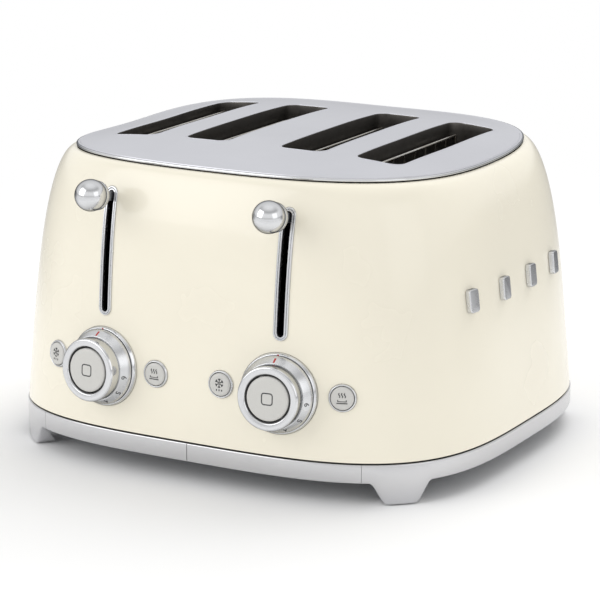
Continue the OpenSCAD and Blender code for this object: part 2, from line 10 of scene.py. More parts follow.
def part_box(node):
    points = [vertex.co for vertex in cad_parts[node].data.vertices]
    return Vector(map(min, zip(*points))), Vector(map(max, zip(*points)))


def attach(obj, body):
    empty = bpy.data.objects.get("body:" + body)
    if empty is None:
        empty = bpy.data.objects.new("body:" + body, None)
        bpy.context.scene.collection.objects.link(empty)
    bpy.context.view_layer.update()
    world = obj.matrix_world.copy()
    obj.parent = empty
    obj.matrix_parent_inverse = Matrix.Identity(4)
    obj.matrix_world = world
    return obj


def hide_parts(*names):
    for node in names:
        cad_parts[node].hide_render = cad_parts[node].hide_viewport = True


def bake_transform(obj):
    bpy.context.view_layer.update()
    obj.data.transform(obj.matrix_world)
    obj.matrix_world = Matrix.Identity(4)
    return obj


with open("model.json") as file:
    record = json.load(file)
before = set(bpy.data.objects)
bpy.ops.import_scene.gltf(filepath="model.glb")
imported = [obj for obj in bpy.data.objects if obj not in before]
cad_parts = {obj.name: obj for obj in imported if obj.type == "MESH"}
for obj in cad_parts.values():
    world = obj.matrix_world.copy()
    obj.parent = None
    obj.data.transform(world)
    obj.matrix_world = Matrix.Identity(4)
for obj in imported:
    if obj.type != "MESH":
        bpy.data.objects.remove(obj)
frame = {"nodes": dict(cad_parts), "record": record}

bl_info = {
    "name": "Retro Toaster",
    "version": (1, 0, 0),
    "blender": (4, 5, 0),
    "location": "View3D > Sidebar > Toaster",
    "description": "Makes the shaped and finished pieces of a four-slot toaster around its fixed frame",
    "category": "Object",
}

MM = 0.001
LEFT, RIGHT = -1, 1
SIDES = {"left": LEFT, "right": RIGHT}
NODES = frame["nodes"]
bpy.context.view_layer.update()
SHELL_LOW, SHELL_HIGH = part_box("body_shell")
MID_Y = (SHELL_LOW.y + SHELL_HIGH.y) / 2
BAND_LOW, BAND_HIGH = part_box("base_band")
BAND_HALF_D = BAND_HIGH.y - MID_Y
CHUTE_LOW, CHUTE_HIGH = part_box("slot_chutes")


def linear(code):
    """Turns an sRGB hex colour such as #f4ecdf into linear red, green and blue."""
    parts = [int(code[i:i + 2], 16) / 255 for i in (1, 3, 5)]
    return tuple(c / 12.92 if c <= 0.04045 else ((c + 0.055) / 1.055) ** 2.4 for c in parts)


def length(name, description, default):
    """A size in millimetres, held in metres."""
    return bpy.props.FloatProperty(name=name, description=description, default=default * MM, unit="LENGTH",
                                   precision=5)


def number(name, description, default):
    return bpy.props.FloatProperty(name=name, description=description, default=default, precision=3)


def colour(name, description, code):
    return bpy.props.FloatVectorProperty(name=name, description=description, default=linear(code),
                                         subtype="COLOR", min=0, max=1)


class ToasterBody(bpy.types.PropertyGroup):
    rim_z: length("Rim height", "Height of the painted shell's upper edge", 191.6)
    draw_in: length("Draw-in", "Even draw-in of the wall from its lower to its upper edge", 11)
    curl_in: length("Shoulder", "Extra draw-in of the rounded shoulder", 19.4)
    depth_share: number("Depth share", "Draw-in of the front and back against that of the sides", 0.79)
    square_low: number("Lower squareness", "Squareness of the outline at the lower edge", 3.44)
    square_high: number("Upper squareness", "Squareness of the outline at the upper edge", 3.16)
    wall: length("Wall", "Thickness of the pressed shell", 1)


class ToasterPlate(bpy.types.PropertyGroup):
    dome: length("Dome", "Rise of the plate from its lower edge to its middle", 9.4)
    edge: length("Edge", "Height of the rolled edge", 1.8)
    sheet: length("Sheet", "Thickness of the plate", 1.2)
    sink: length("Sink", "How far the dome lies below the slot lips' highest line", 0.6)
    slot_width: length("Slot width", "Clear width of one bread slot", 32.4)
    slot_length: length("Slot length", "Clear length of one bread slot", 140.4)
    slot_corner: length("Slot corner", "Corner radius of a bread slot", 8)
    slot_inner: length("Inner slots", "Distance of the inner slots from the middle plane", 34.45)
    slot_outer: length("Outer slots", "Distance of the outer slots from the middle plane", 88.2)


class ToasterBase(bpy.types.PropertyGroup):
    foot_x: length("Foot X", "Distance of a foot's middle from the middle plane", 133.5)
    foot_y: length("Foot Y", "Distance of a foot's middle from the cross plane", 116)
    foot_flat: length("Foot flat", "Radius over which a foot is level", 9)
    foot_spread: length("Foot spread", "Radius at which a foot has run out into the band", 20)
    low_z: length("Lower edge", "Height of the band's lower edge between the feet", 14.25)
    seam: length("Tray seam", "Outer seam of each crumb tray front", 115)
    metal: length("Metal", "Thickness of the band", 1.6)


class ToasterControls(bpy.types.PropertyGroup):
    control_x: length("Control X", "Distance of lever and dial from the middle plane", 62.95)
    dial_z: length("Dial height", "Height of the dials", 66.1)
    button_step: length("Button step", "Distance of a small button from its dial's middle", 39.5)
    button_lift: length("Button lift", "How far the small buttons stand above the dial's middle", 0.7)
    ring: length("Dial ring", "Radius of the fixed ring behind the dial", 25.4)
    drum: length("Dial drum", "Radius of the dial's drum", 20)
    cap: length("Stop cap", "Radius of the stop button", 13.8)
    button: length("Button cap", "Radius of a small button's cap", 7.2)
    bezel: length("Button bezel", "Radius of a small button's bezel", 8.7)
    digit: length("Digit height", "Height of the numbers on the dial", 5)
    slot_low: length("Slot low", "Lower end of the lever trim", 98.5)
    slot_high: length("Slot high", "Upper end of the lever trim", 178.9)
    ball: length("Lever ball", "Radius of the lever's ball", 10)


class ToasterColours(bpy.types.PropertyGroup):
    enamel: colour("Enamel", "Colour of the painted body", "#f5efdd")
    steel: colour("Satin steel", "Colour of the top plate", "#dadbe1")
    chrome: colour("Chrome", "Colour of the polished trims", "#dcdddf")
    cast: colour("Cast metal", "Colour of the base band", "#d2d2d4")
    plastic: colour("Button plastic", "Colour of the stop and small buttons", "#cfceca")
    ink: colour("Ink", "Colour of the printed signs", "#3a3b3e")
    mark: colour("Mark", "Colour of the dial's pointer mark", "#c23a33")


class ToasterStage(bpy.types.PropertyGroup):
    lens: bpy.props.FloatProperty(name="Lens", description="Focal length in mm on a 36 mm sensor",
                                  default=159.39, unit="CAMERA")
    distance: bpy.props.FloatProperty(name="Distance", description="Distance of the camera from its target",
                                      default=1.7447766, unit="LENGTH")
    azimuth: bpy.props.FloatProperty(name="Azimuth", description="Camera's turn to the right of the front",
                                     default=math.radians(29.2), unit="ROTATION")
    elevation: bpy.props.FloatProperty(name="Elevation", description="Camera's height above the horizon",
                                       default=math.radians(14.43), unit="ROTATION")
    floor_size: bpy.props.FloatProperty(name="Floor", description="Width of the floor", default=8,
                                        unit="LENGTH")


# ---- shape rule of the body ----

def squircle(t, n):
    return (np.abs(np.cos(t)) ** n + np.abs(np.sin(t)) ** n) ** (-1 / n)


def rim_wave(t):
    """The rim sinks a little towards the sides."""
    return (-1.89 * np.cos(2 * t) - 0.76 * np.cos(4 * t)) * MM


def outline(half_width, half_depth, n, z, wave=0.0, turns=256):
    """A squared oval round the body's middle; turns is a number of points or the angles themselves."""
    t = np.arange(turns) * 2 * math.pi / turns if isinstance(turns, int) else np.asarray(turns)
    r = squircle(t, n)
    return np.stack([half_width * r * np.cos(t), half_depth * r * np.sin(t) + MID_Y,
                     z + wave * rim_wave(t)], axis=1)


class Form:
    """The body's curved surfaces, worked out from its few sizes."""

    def __init__(self, scene):
        self.body = scene.toaster_body
        self.plate = scene.toaster_plate
        self.base = scene.toaster_base
        self.half_w = SHELL_HIGH.x
        self.half_d = (SHELL_HIGH.y - SHELL_LOW.y) / 2
        self.shell_z = SHELL_LOW.z
        self.plate_z = self.body.rim_z + 0.8 * MM

    def draw(self, u):
        return self.body.draw_in * u + self.body.curl_in * (1 - (1 - u ** 3.6) ** (1 / 2.2))

    def squareness(self, u):
        return self.body.square_low + (self.body.square_high - self.body.square_low) * u

    def share(self, z):
        return (z - self.shell_z) / (self.body.rim_z - self.shell_z)

    def shell_ring(self, u, skin, turns):
        """One level of the shell, moved inwards by skin along the wall's own normal."""
        step = 0.004
        rise = self.body.rim_z - self.shell_z
        slope = (self.draw(min(1, u + step)) - self.draw(max(0, u - step))) / (rise * 2 * step)
        drawn = self.draw(u)
        level = math.hypot(1, slope) if u > 0 else 1
        inset = skin / level
        drop = skin * slope / level if u > 0 else 0
        return outline(self.half_w - drawn - inset, self.half_d - self.body.depth_share * drawn - inset,
                       self.squareness(u), self.shell_z + rise * u - drop, u ** 4, turns)

    def face_y(self, x, z):
        """The shell's front face, behind the body's middle."""
        u = self.share(np.asarray(z, float))
        s, n = self.draw(u), self.squareness(u)
        reach = (1 - (np.abs(x) / (self.half_w - s)) ** n) ** (1 / n)
        return -(self.half_d - self.body.depth_share * s) * reach

    def side_x(self, y, z):
        u = self.share(np.asarray(z, float))
        s, n = self.draw(u), self.squareness(u)
        reach = (1 - (np.abs(y) / (self.half_d - self.body.depth_share * s)) ** n) ** (1 / n)
        return (self.half_w - s) * reach

    def on_front(self, x, z):
        """A place on the front face whose own +Z points out of the face."""
        half = 0.5 * MM
        turn = math.atan((self.face_y(x + half, z) - self.face_y(x - half, z)) / MM)
        tilt = math.atan((self.face_y(x, z + half) - self.face_y(x, z - half)) / MM)
        return (Matrix.Translation((x, self.face_y(x, z) + MID_Y, z)) @ Matrix.Rotation(turn, 4, "Z")
                @ Matrix.Rotation(math.pi / 2 - tilt, 4, "X"))

    def on_back(self, z):
        """A place in the middle of the back face whose own +Z points out of the face."""
        turned = Matrix.Rotation(math.pi, 4, "Z") @ Matrix.Translation((0, -2 * MID_Y, 0))
        return turned @ self.on_front(0, z)

    def on_side(self, side, y, z):
        """A place on a side face whose own +Z points out of the face and whose +Y points up."""
        half = 0.5 * MM
        turn = math.atan((self.side_x(y - half, z) - self.side_x(y + half, z)) / MM)
        tilt = math.atan((self.side_x(y, z - half) - self.side_x(y, z + half)) / MM)
        place = (Matrix.Translation((self.side_x(y, z), y + MID_Y, z)) @ Matrix.Rotation(-tilt, 4, "Y")
                 @ Matrix.Rotation(turn, 4, "Z") @ Matrix.Rotation(math.pi / 2, 4, "Z")
                 @ Matrix.Rotation(math.pi / 2, 4, "X"))
        return Matrix.Diagonal((side, 1, 1, 1)) @ place

    def plate_half(self):
        spread = self.body.draw_in + self.body.curl_in
        lap = 0.3 * MM
        return self.half_w - spread + lap, self.half_d - self.body.depth_share * spread + lap

    def dome_z(self, x, y):
        """Height of the top plate over a point, with the dome sunk a little below the slot lips."""
        a, b = self.plate_half()
        n = self.body.square_high
        p = ((np.abs(x) / a) ** n + (np.abs(y) / b) ** n) ** (1 / n)
        t = np.arctan2(y / b, x / a)
        rise = (self.plate.dome - self.plate.edge) * (1 - p ** n)
        sink = self.plate.sink * np.clip((1 - p) / 0.06, 0, 1)
        return self.plate_z + self.plate.edge + rise + p ** 4 * rim_wave(t) - sink

    def band_loop(self, inset, z, turns):
        return outline(BAND_HIGH.x - inset, BAND_HALF_D - inset, self.body.square_low, z,
                       0, turns)

    def footed_loop(self, inset, foot_inset, lift, turns):
        """The band's lower edge, which runs down into the four feet."""
        base = self.base
        plain = self.band_loop(inset, base.low_z, turns)
        deep = self.band_loop(inset + foot_inset, base.low_z, turns)
        away = np.hypot(np.abs(plain[:, 0]) - base.foot_x, np.abs(plain[:, 1] - MID_Y) - base.foot_y)
        v = np.clip((away - base.foot_flat) / (base.foot_spread - base.foot_flat), 0, 1)
        foot = (1 - v * v * (3 - 2 * v))[:, None]
        loop = plain * (1 - foot) + deep * foot
        loop[:, 2] = base.low_z + (BAND_LOW.z - base.low_z) * foot[:, 0] + lift
        return loop

    def turn_at(self, x, inset=0.0):
        """Angle at which the band's front edge reaches x."""
        a, b = BAND_HIGH.x - inset, BAND_HALF_D - inset
        low, high = math.pi, 2 * math.pi
        for _ in range(50):
            middle = (low + high) / 2
            point = outline(a, b, self.body.square_low, 0, 0, [middle])[0]
            low, high = (middle, high) if point[0] < x else (low, middle)
        return (low + high) / 2


# ---- mesh builders: each returns points and faces ----

def skin(loops, ring=False, around=True, caps=False):
    """Faces over a list of loops with equal numbers of points, outside on the right of the way they run."""
    m, k = len(loops[0]), len(loops)
    last = k if ring else k - 1
    across = m if around else m - 1
    faces = [(j * m + i, j * m + (i + 1) % m, (j + 1) % k * m + (i + 1) % m, (j + 1) % k * m + i)
             for j in range(last) for i in range(across)]
    if caps and around:
        faces += [tuple(range(m - 1, -1, -1)), tuple(range((k - 1) * m, k * m))]
    if caps and not around:
        faces += [tuple(j * m for j in range(k)), tuple(j * m + m - 1 for j in range(k - 1, -1, -1))]
    return np.concatenate(loops), faces


def join(*meshes):
    points, faces, start = [], [], 0
    for part_points, part_faces in meshes:
        points.append(np.asarray(part_points, float))
        faces += [tuple(i + start for i in face) for face in part_faces]
        start += len(part_points)
    return np.concatenate(points), faces


def moved(mesh, place):
    points = np.asarray(mesh[0], float)
    turn = np.array(place.to_3x3())
    faces = mesh[1] if place.determinant() > 0 else [face[::-1] for face in mesh[1]]
    return points @ turn.T + np.array(place.translation), faces


def rounded(profile, closed=True, steps=4):
    """Rounds the corners of a profile whose entries are (x, y) or (x, y, radius), all in mm."""
    points = [np.array(p[:2], float) * MM for p in profile]
    radii = [(p[2] if len(p) > 2 else 0) * MM for p in profile]
    found = []
    for i, here in enumerate(points):
        if radii[i] == 0 or (not closed and i in (0, len(points) - 1)):
            found.append(here)
            continue
        before, after = points[i - 1] - here, points[(i + 1) % len(points)] - here
        cut = [v / np.linalg.norm(v) * min(radii[i], 0.48 * np.linalg.norm(v)) for v in (before, after)]
        for s in np.linspace(0, 1, steps + 1):
            found.append(here + cut[0] * (1 - s) ** 2 + cut[1] * s ** 2)
    return found


def lathe(profile, place, count=96, ring=True):
    """Turns a profile of (radius, height) points about place's own Z axis."""
    t = np.arange(count) * 2 * math.pi / count
    loops = [np.stack([r * np.cos(t), r * np.sin(t), np.full(count, h)], axis=1) for r, h in profile]
    return moved(skin(loops, ring=ring), place)


def rounded_rectangle(width, depth, corner, spacing):
    """Points and outward directions round a rectangle with round corners."""
    points, normals = [], []
    centres = [(width / 2 - corner, depth / 2 - corner), (corner - width / 2, depth / 2 - corner),
               (corner - width / 2, corner - depth / 2), (width / 2 - corner, corner - depth / 2)]
    arcs = max(6, int(corner * math.pi / 2 / spacing))
    for k, centre in enumerate(centres):
        for i in range(arcs + 1):
            a = math.pi / 2 * (k + i / arcs)
            n = np.array([math.cos(a), math.sin(a)])
            points.append(np.array(centre) + corner * n)
            normals.append(n)
        following = np.array(centres[(k + 1) % 4]) + corner * n
        steps = int(np.linalg.norm(following - points[-1]) / spacing)
        points += [points[-1] + (following - points[-1]) * i / steps for i in range(1, steps)]
        normals += [n] * max(0, steps - 1)
    return np.array(points), np.array(normals)


def stroke(path, width, height, closed=False):
    """A printed line: a flat solid of the given width along a path of points in mm."""
    path = np.asarray(path, float) * MM
    ahead = np.roll(path, -1, axis=0) - path
    behind = path - np.roll(path, 1, axis=0)
    if not closed:
        ahead[-1], behind[0] = behind[-1], ahead[0]
    along = ahead / np.linalg.norm(ahead, axis=1)[:, None] + behind / np.linalg.norm(behind, axis=1)[:, None]
    along /= np.linalg.norm(along, axis=1)[:, None]
    side = np.stack([-along[:, 1], along[:, 0]], axis=1) * width / 2
    corners = [(side, height), (-side, height), (-side, -height), (side, -height)]
    sections = [np.column_stack([path + offset, np.full(len(path), z)]) for offset, z in corners]
    loops = [np.stack([s[i] for s in sections]) for i in range(len(path))]
    return skin(loops, ring=closed, caps=not closed)


# ---- pieces ----

def make_mesh(name, mesh):
    data = bpy.data.meshes.new(name)
    data.from_pydata(np.asarray(mesh[0]).tolist(), [], mesh[1])
    work = bmesh.new()
    work.from_mesh(data)
    bmesh.ops.remove_doubles(work, verts=work.verts, dist=1e-7)
    bmesh.ops.dissolve_degenerate(work, edges=work.edges, dist=1e-7)
    bmesh.ops.recalc_face_normals(work, faces=work.faces)
    work.to_mesh(data)
    work.free()
    return data


def shade(data, angle=35):
    """Smooth faces with sharp edges where the surface turns by more than the angle."""
    data.polygons.foreach_set("use_smooth", [True] * len(data.polygons))
    data.set_sharp_from_angle(angle=math.radians(angle))


def new_object(name, data):
    piece = bpy.data.objects.new(name, data)
    bpy.context.scene.collection.objects.link(piece)
    return piece


def new_piece(name, mesh, kind, body, nodes=(), angle=35):
    """Makes a piece with a finish from points and faces, or from a ready mesh, and joins it to the frame."""
    data = mesh if isinstance(mesh, bpy.types.Mesh) else make_mesh(name, mesh)
    data.name = name
    if not data.materials:
        data.materials.append(finish(kind))
    shade(data, angle)
    piece = new_object(name, data)
    if nodes:
        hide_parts(*nodes)
    if body:
        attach(piece, body)
    return piece


def drop(piece):
    """Removes an object together with its mesh or curve."""
    data = piece.data
    store = bpy.data.meshes if isinstance(data, bpy.types.Mesh) else bpy.data.curves
    bpy.data.objects.remove(piece)
    if data.users == 0:
        store.remove(data)


def evaluated(piece):
    """The piece's mesh with its modifiers worked in; the piece itself is removed."""
    data = bpy.data.meshes.new_from_object(piece.evaluated_get(bpy.context.evaluated_depsgraph_get()))
    name = piece.name
    drop(piece)
    data.name = name
    return data


def cut(data, cutter):
    """Takes one closed mesh out of another."""
    solid, tool = new_object("solid", data), new_object("tool", make_mesh("tool", cutter))
    modifier = solid.modifiers.new("cut", "BOOLEAN")
    modifier.object = tool
    modifier.operation = "DIFFERENCE"
    modifier.solver = "EXACT"
    found = evaluated(solid)
    drop(tool)
    return found


def eased_copy(node, width):
    """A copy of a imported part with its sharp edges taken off."""
    data = NODES[node].data.copy()
    work = bmesh.new()
    work.from_mesh(data)
    bmesh.ops.remove_doubles(work, verts=work.verts, dist=1e-6)
    bmesh.ops.dissolve_limit(work, angle_limit=math.radians(1), verts=work.verts, edges=work.edges)
    work.to_mesh(data)
    work.free()
    data.materials.clear()
    if "custom_normal" in data.attributes:
        data.attributes.remove(data.attributes["custom_normal"])
    piece = new_object(node + "_copy", data)
    bevel = piece.modifiers.new("eased", "BEVEL")
    bevel.width = width
    bevel.segments = 2
    bevel.limit_method = "ANGLE"
    bevel.angle_limit = math.radians(40)
    return evaluated(piece)


# ---- geometry trees ----

def add(tree, kind, inputs=None, **settings):
    """Adds a node, sets its own settings, and gives its inputs plain values or links."""
    node = tree.nodes.new(kind)
    for name, value in settings.items():
        setattr(node, name, value)
    for key, value in (inputs or {}).items():
        if isinstance(value, bpy.types.NodeSocket):
            tree.links.new(value, node.inputs[key])
        else:
            node.inputs[key].default_value = value
    return node


def new_tree(name, sizes):
    """A geometry tree whose named inputs are its sizes; returns the tree and its input sockets."""
    tree = bpy.data.node_groups.new(name, "GeometryNodeTree")
    tree.interface.new_socket("Geometry", in_out="INPUT", socket_type="NodeSocketGeometry")
    for label, kind in sizes.items():
        tree.interface.new_socket(label, in_out="INPUT", socket_type=kind)
    tree.interface.new_socket("Material", in_out="INPUT", socket_type="NodeSocketMaterial")
    tree.interface.new_socket("Geometry", in_out="OUTPUT", socket_type="NodeSocketGeometry")
    return tree, add(tree, "NodeGroupInput").outputs


def end_tree(tree, given, geometry):
    solid = add(tree, "GeometryNodeRealizeInstances", {"Geometry": geometry})
    painted = add(tree, "GeometryNodeSetMaterial", {"Geometry": solid.outputs[0],
                                                    "Material": given["Material"]})
    add(tree, "NodeGroupOutput", {"Geometry": painted.outputs[0]})
    return tree


def grown(name, tree, points, material, **values):
    """Runs a geometry tree on a few points and returns the result as a plain mesh."""
    data = bpy.data.meshes.new(name)
    data.from_pydata([tuple(p) for p in points], [], [])
    piece = new_object(name, data)
    modifier = piece.modifiers.new("tree", "NODES")
    modifier.node_group = tree
    keys = {s.name: s.identifier for s in tree.interface.items_tree if s.in_out == "INPUT"}
    for label, value in values.items():
        modifier[keys[label]] = value
    modifier[keys["Material"]] = material
    return evaluated(piece)


# ---- finishes ----

def finished(name, first, second, patch, gloss, grain, depth, pattern="Noise", stretch=(1, 1, 1), **values):
    """A material whose colour and gloss drift over patches and that has a fine grain; sizes are in mm."""
    material = bpy.data.materials.new(name)
    material.use_nodes = True
    tree = material.node_tree
    tree.nodes.clear()
    point = add(tree, "ShaderNodeTexCoord").outputs["Object"]
    drift = add(tree, "ShaderNodeTexNoise", {"Vector": point, "Scale": 1 / (patch * MM), "Detail": 3})
    share = add(tree, "ShaderNodeMapRange", {"Value": drift.outputs[0], "From Min": 0.3, "From Max": 0.7})
    mixed = add(tree, "ShaderNodeMix", {0: share.outputs[0], 6: (*first, 1), 7: (*second, 1)},
                data_type="RGBA")
    rough = add(tree, "ShaderNodeMapRange", {"Value": share.outputs[0], "To Min": gloss[0],
                                             "To Max": gloss[1]})
    place = add(tree, "ShaderNodeMapping", {"Vector": point, "Scale": stretch})
    fine = add(tree, "ShaderNodeTex" + pattern, {"Vector": place.outputs[0], "Scale": 1 / (grain * MM)})
    bump = add(tree, "ShaderNodeBump", {"Height": fine.outputs[0], "Distance": depth * MM})
    shader = add(tree, "ShaderNodeBsdfPrincipled", {"Base Color": mixed.outputs[2],
                                                    "Normal": bump.outputs[0],
                                                    "Roughness": rough.outputs[0]})
    for key, value in values.items():
        shader.inputs[key.replace("_", " ")].default_value = value
    add(tree, "ShaderNodeOutputMaterial", {"Surface": shader.outputs[0]})
    return material


def darker(tone, factor):
    return tuple(c * factor for c in tone)


def make_finishes(colours):
    """All materials, by the name of the part of the toaster that they are for."""
    # Dark grey edge tint for the chrome: a painted dark reflection at grazing edges, standing in for dark
    # surroundings
    edge = (0.3, 0.31, 0.33, 1)
    chrome = colours.chrome, darker(colours.chrome, 0.97)
    cast = colours.cast, darker(colours.cast, 0.96)
    return {
        # Sprayed gloss enamel, cured in an oven: an even deep gloss over an orange peel 2 to 3 mm across
        "enamel": finished("gloss_enamel", colours.enamel, darker(colours.enamel, 0.975), 70,
                           (0.24, 0.28), 2.4, 0.012, IOR=1.5, Coat_Weight=0.5, Coat_Roughness=0.07),
        # Thin dip primer on the shell's inside: dull, a little mottled, dark also as painted shade behind
        # the openings
        "primer_and_painted_shade": finished("dip_primer", linear("#3c3a38"), linear("#2b2a29"), 6, (0.7, 0.8), 1, 0.01),
        # Stainless sheet ground along its width: soft wide reflections. The real grind is 0.05 mm, which is
        # too fine to show, so it is drawn at 0.5 mm.
        "steel": finished("ground_stainless", colours.steel, darker(colours.steel, 0.95), 80,
                          (0.37, 0.43), 0.5, 0.004, stretch=(0.02, 1, 1), Metallic=1),
        # Nickel-chrome plate over a polished base: mirror bright, faint wipe marks; painted dark reflection
        # at its edges
        "chrome": finished("bright_chrome", *chrome, 28, (0.08, 0.13), 3.3, 0.0005, Metallic=1,
                           Specular_Tint=edge),
        # The same plate on a turned ball, softer gloss of handling; near-black edge tint paints a dark rim
        # reflection
        "ball": finished("handled_chrome", *chrome, 12, (0.12, 0.16), 3.3, 0.0005, Metallic=1,
                         Specular_Tint=darker(edge, 0.3)[:3] + (1,)),
        # The same plate over a blasted base: pearly, blurred reflections; painted dark reflection at its
        # edges
        "pearl": finished("pearl_chrome", *chrome, 20, (0.24, 0.3), 0.8, 0.0005, Metallic=1,
                          Specular_Tint=edge),
        # Die-cast aluminium, smoothed and satin plated: soft reflections over an even 0.6 mm grain
        "cast": finished("plated_casting", *cast, 40, (0.2, 0.24), 0.6, 0.0008, Metallic=1),
        # Zinc-plated sheet: clouds of tone and gloss about 15 mm across
        "zinc": finished("zinc_plated_sheet", linear("#a2a4a8"), linear("#84868a"), 14, (0.34, 0.5), 1.1,
                         0.006, Metallic=1),
        # Aluminised steel beside the heaters: greyed and browned by heat, and dark also as painted shade in
        # the slots
        "slot": finished("heat_greyed_steel", linear("#75726e"), linear("#55524f"), 22, (0.35, 0.5), 1.1,
                         0.006, Metallic=1),
        # Nickel-plated wire and rod: clean and fairly bright
        "wire": finished("nickel_plated_wire", linear("#d3d2ce"), linear("#b4afa6"), 17, (0.2, 0.32), 1.1,
                         0.004, Metallic=1),
        # Rolled resistance ribbon under its own dark oxide
        "ribbon": finished("oxidised_ribbon", linear("#6f625a"), linear("#4d433d"), 8, (0.4, 0.55), 1.1,
                           0.004, Metallic=1),
        # Mica paper pressed from flakes about 3 mm across: pearly tan
        "mica": finished("pressed_mica", linear("#b79b6e"), linear("#d9c6a0"), 3, (0.4, 0.5), 3, 0.03,
                         "Voronoi", IOR=1.58),
        # Moulded rubber, plastic and glass laminate: even tone with the fine grain of the tool
        "rubber": finished("black_rubber", linear("#1d1d1d"), linear("#272727"), 5, (0.66, 0.74), 0.8,
                           0.01),
        "board": finished("green_laminate", linear("#2f5a3c"), linear("#3a6a48"), 4, (0.45, 0.55), 1.4,
                          0.01),
        "black": finished("black_moulded_plastic", linear("#1b1b1c"), linear("#242425"), 5, (0.42, 0.48),
                          0.8, 0.01),
        "pale": finished("pale_moulded_plastic", linear("#ddd8cb"), linear("#e6e2d8"), 5, (0.45, 0.55),
                         0.8, 0.01),
        # ABS under a silver-grey satin paint: soft sheen and a barely visible 0.5 mm fleck
        "button": finished("painted_abs", colours.plastic, darker(colours.plastic, 0.94), 0.5,
                           (0.36, 0.4), 0.5, 0.003, IOR=1.5),
        # Enamelled copper wire in close turns about 0.8 mm apart
        "copper": finished("wound_copper", linear("#5a2c12"), linear("#b0622c"), 2, (0.25, 0.35), 0.8,
                           0.2, stretch=(0.02, 0.02, 1), Metallic=0.8),
        # Pad-printed inks: matt and a little uneven in density
        "ink": finished("sign_ink", colours.ink, darker(colours.ink, 0.8), 0.4, (0.5, 0.6), 0.4, 0.001),
        "mark": finished("pointer_ink", colours.mark, darker(colours.mark, 0.85), 0.4, (0.5, 0.6), 0.4,
                         0.001),
    }


FINISHES = {}


def finish(name):
    """A finish by name; all are made at the first call."""
    if not FINISHES:
        FINISHES.update(make_finishes(bpy.context.scene.toaster_colours))
    return FINISHES[name]


# ---- operators: one for each piece or group of like pieces ----

class TOASTER_OT_body_shell(bpy.types.Operator):
    """Make the painted shell with its lever slots, dial seats and button seats"""
    bl_idname = "toaster.body_shell"
    bl_label = "Body Shell"
    bl_options = {"REGISTER", "UNDO"}

    def execute(self, context):
        scene, form = context.scene, Form(context.scene)
        levels, turns = 56, 288
        shares = [1 - (1 - i / levels) ** 1.7 for i in range(levels + 1)]
        wall = scene.toaster_body.wall
        outer = [form.shell_ring(u, 0, turns) for u in shares]
        inner = [form.shell_ring(u, wall, turns) for u in reversed(shares)]
        data = make_mesh("body_shell", skin(outer + inner, ring=True))
        data.materials.append(finish("enamel"))
        data.materials.append(finish("primer_and_painted_shade"))
        # Inward faces take the dark primer, which also paints shade inside the openings
        centre = np.zeros(len(data.polygons) * 3)
        data.polygons.foreach_get("center", centre)
        facing = np.zeros(len(data.polygons) * 3)
        data.polygons.foreach_get("normal", facing)
        centre, facing = centre.reshape(-1, 3), facing.reshape(-1, 3)
        inward = (centre[:, 0] * facing[:, 0] + (centre[:, 1] - MID_Y) * facing[:, 1]) < 0
        data.polygons.foreach_set("material_index", inward.astype(np.int32))
        data = cut(data, join(*self.openings(scene, form)))
        new_piece("body_skin", data, None, "housing", ["body_shell"], 40)
        return {"FINISHED"}

    def openings(self, scene, form):
        sizes = scene.toaster_controls
        clear, reach, gland_neck = 0.1 * MM, 8 * MM, 7.5 * MM
        slot_from, slot_to = MID_Y - 0.09, MID_Y - 0.17
        for side in SIDES.values():
            x = side * sizes.control_x
            yield lathe([(0, -reach), (sizes.ring + clear, -reach), (sizes.ring + clear, reach), (0, reach)],
                        form.on_front(x, sizes.dial_z), 128, ring=False)
            for step in (-sizes.button_step, sizes.button_step):
                place = form.on_front(x + step, sizes.dial_z + sizes.button_lift)
                r = sizes.bezel + clear
                yield lathe([(0, -reach), (r, -reach), (r, reach), (0, reach)], place, 64, ring=False)
            path = trim_path(scene, x, 0.05 * MM)
            yield skin([np.column_stack([path[:, 0], np.full(len(path), y), path[:, 1]])
                        for y in (slot_from, slot_to)], caps=True)
        low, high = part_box("cord_gland")
        r = gland_neck + clear
        yield lathe([(0, -reach), (r, -reach), (r, reach), (0, reach)],
                    form.on_back((low.z + high.z) / 2), 64, ring=False)


def trim_path(scene, x, grow):
    """The lever slot's outline in the front plane, as x and z, grown outwards from the trim's outer edge."""
    sizes = scene.toaster_controls
    r = 4.75 * MM
    ends = [(sizes.slot_high - r, 0), (sizes.slot_low + r, math.pi)]
    points = []
    for z, start in ends:
        for i in range(25):
            a = start + math.pi * i / 24
            points.append((x + (r + grow) * math.cos(a), z + (r + grow) * math.sin(a)))
        other = ends[0][0] if start else ends[1][0]
        points += [(points[-1][0], z + (other - z) * k / 32) for k in range(1, 32)]
    return np.array(points)


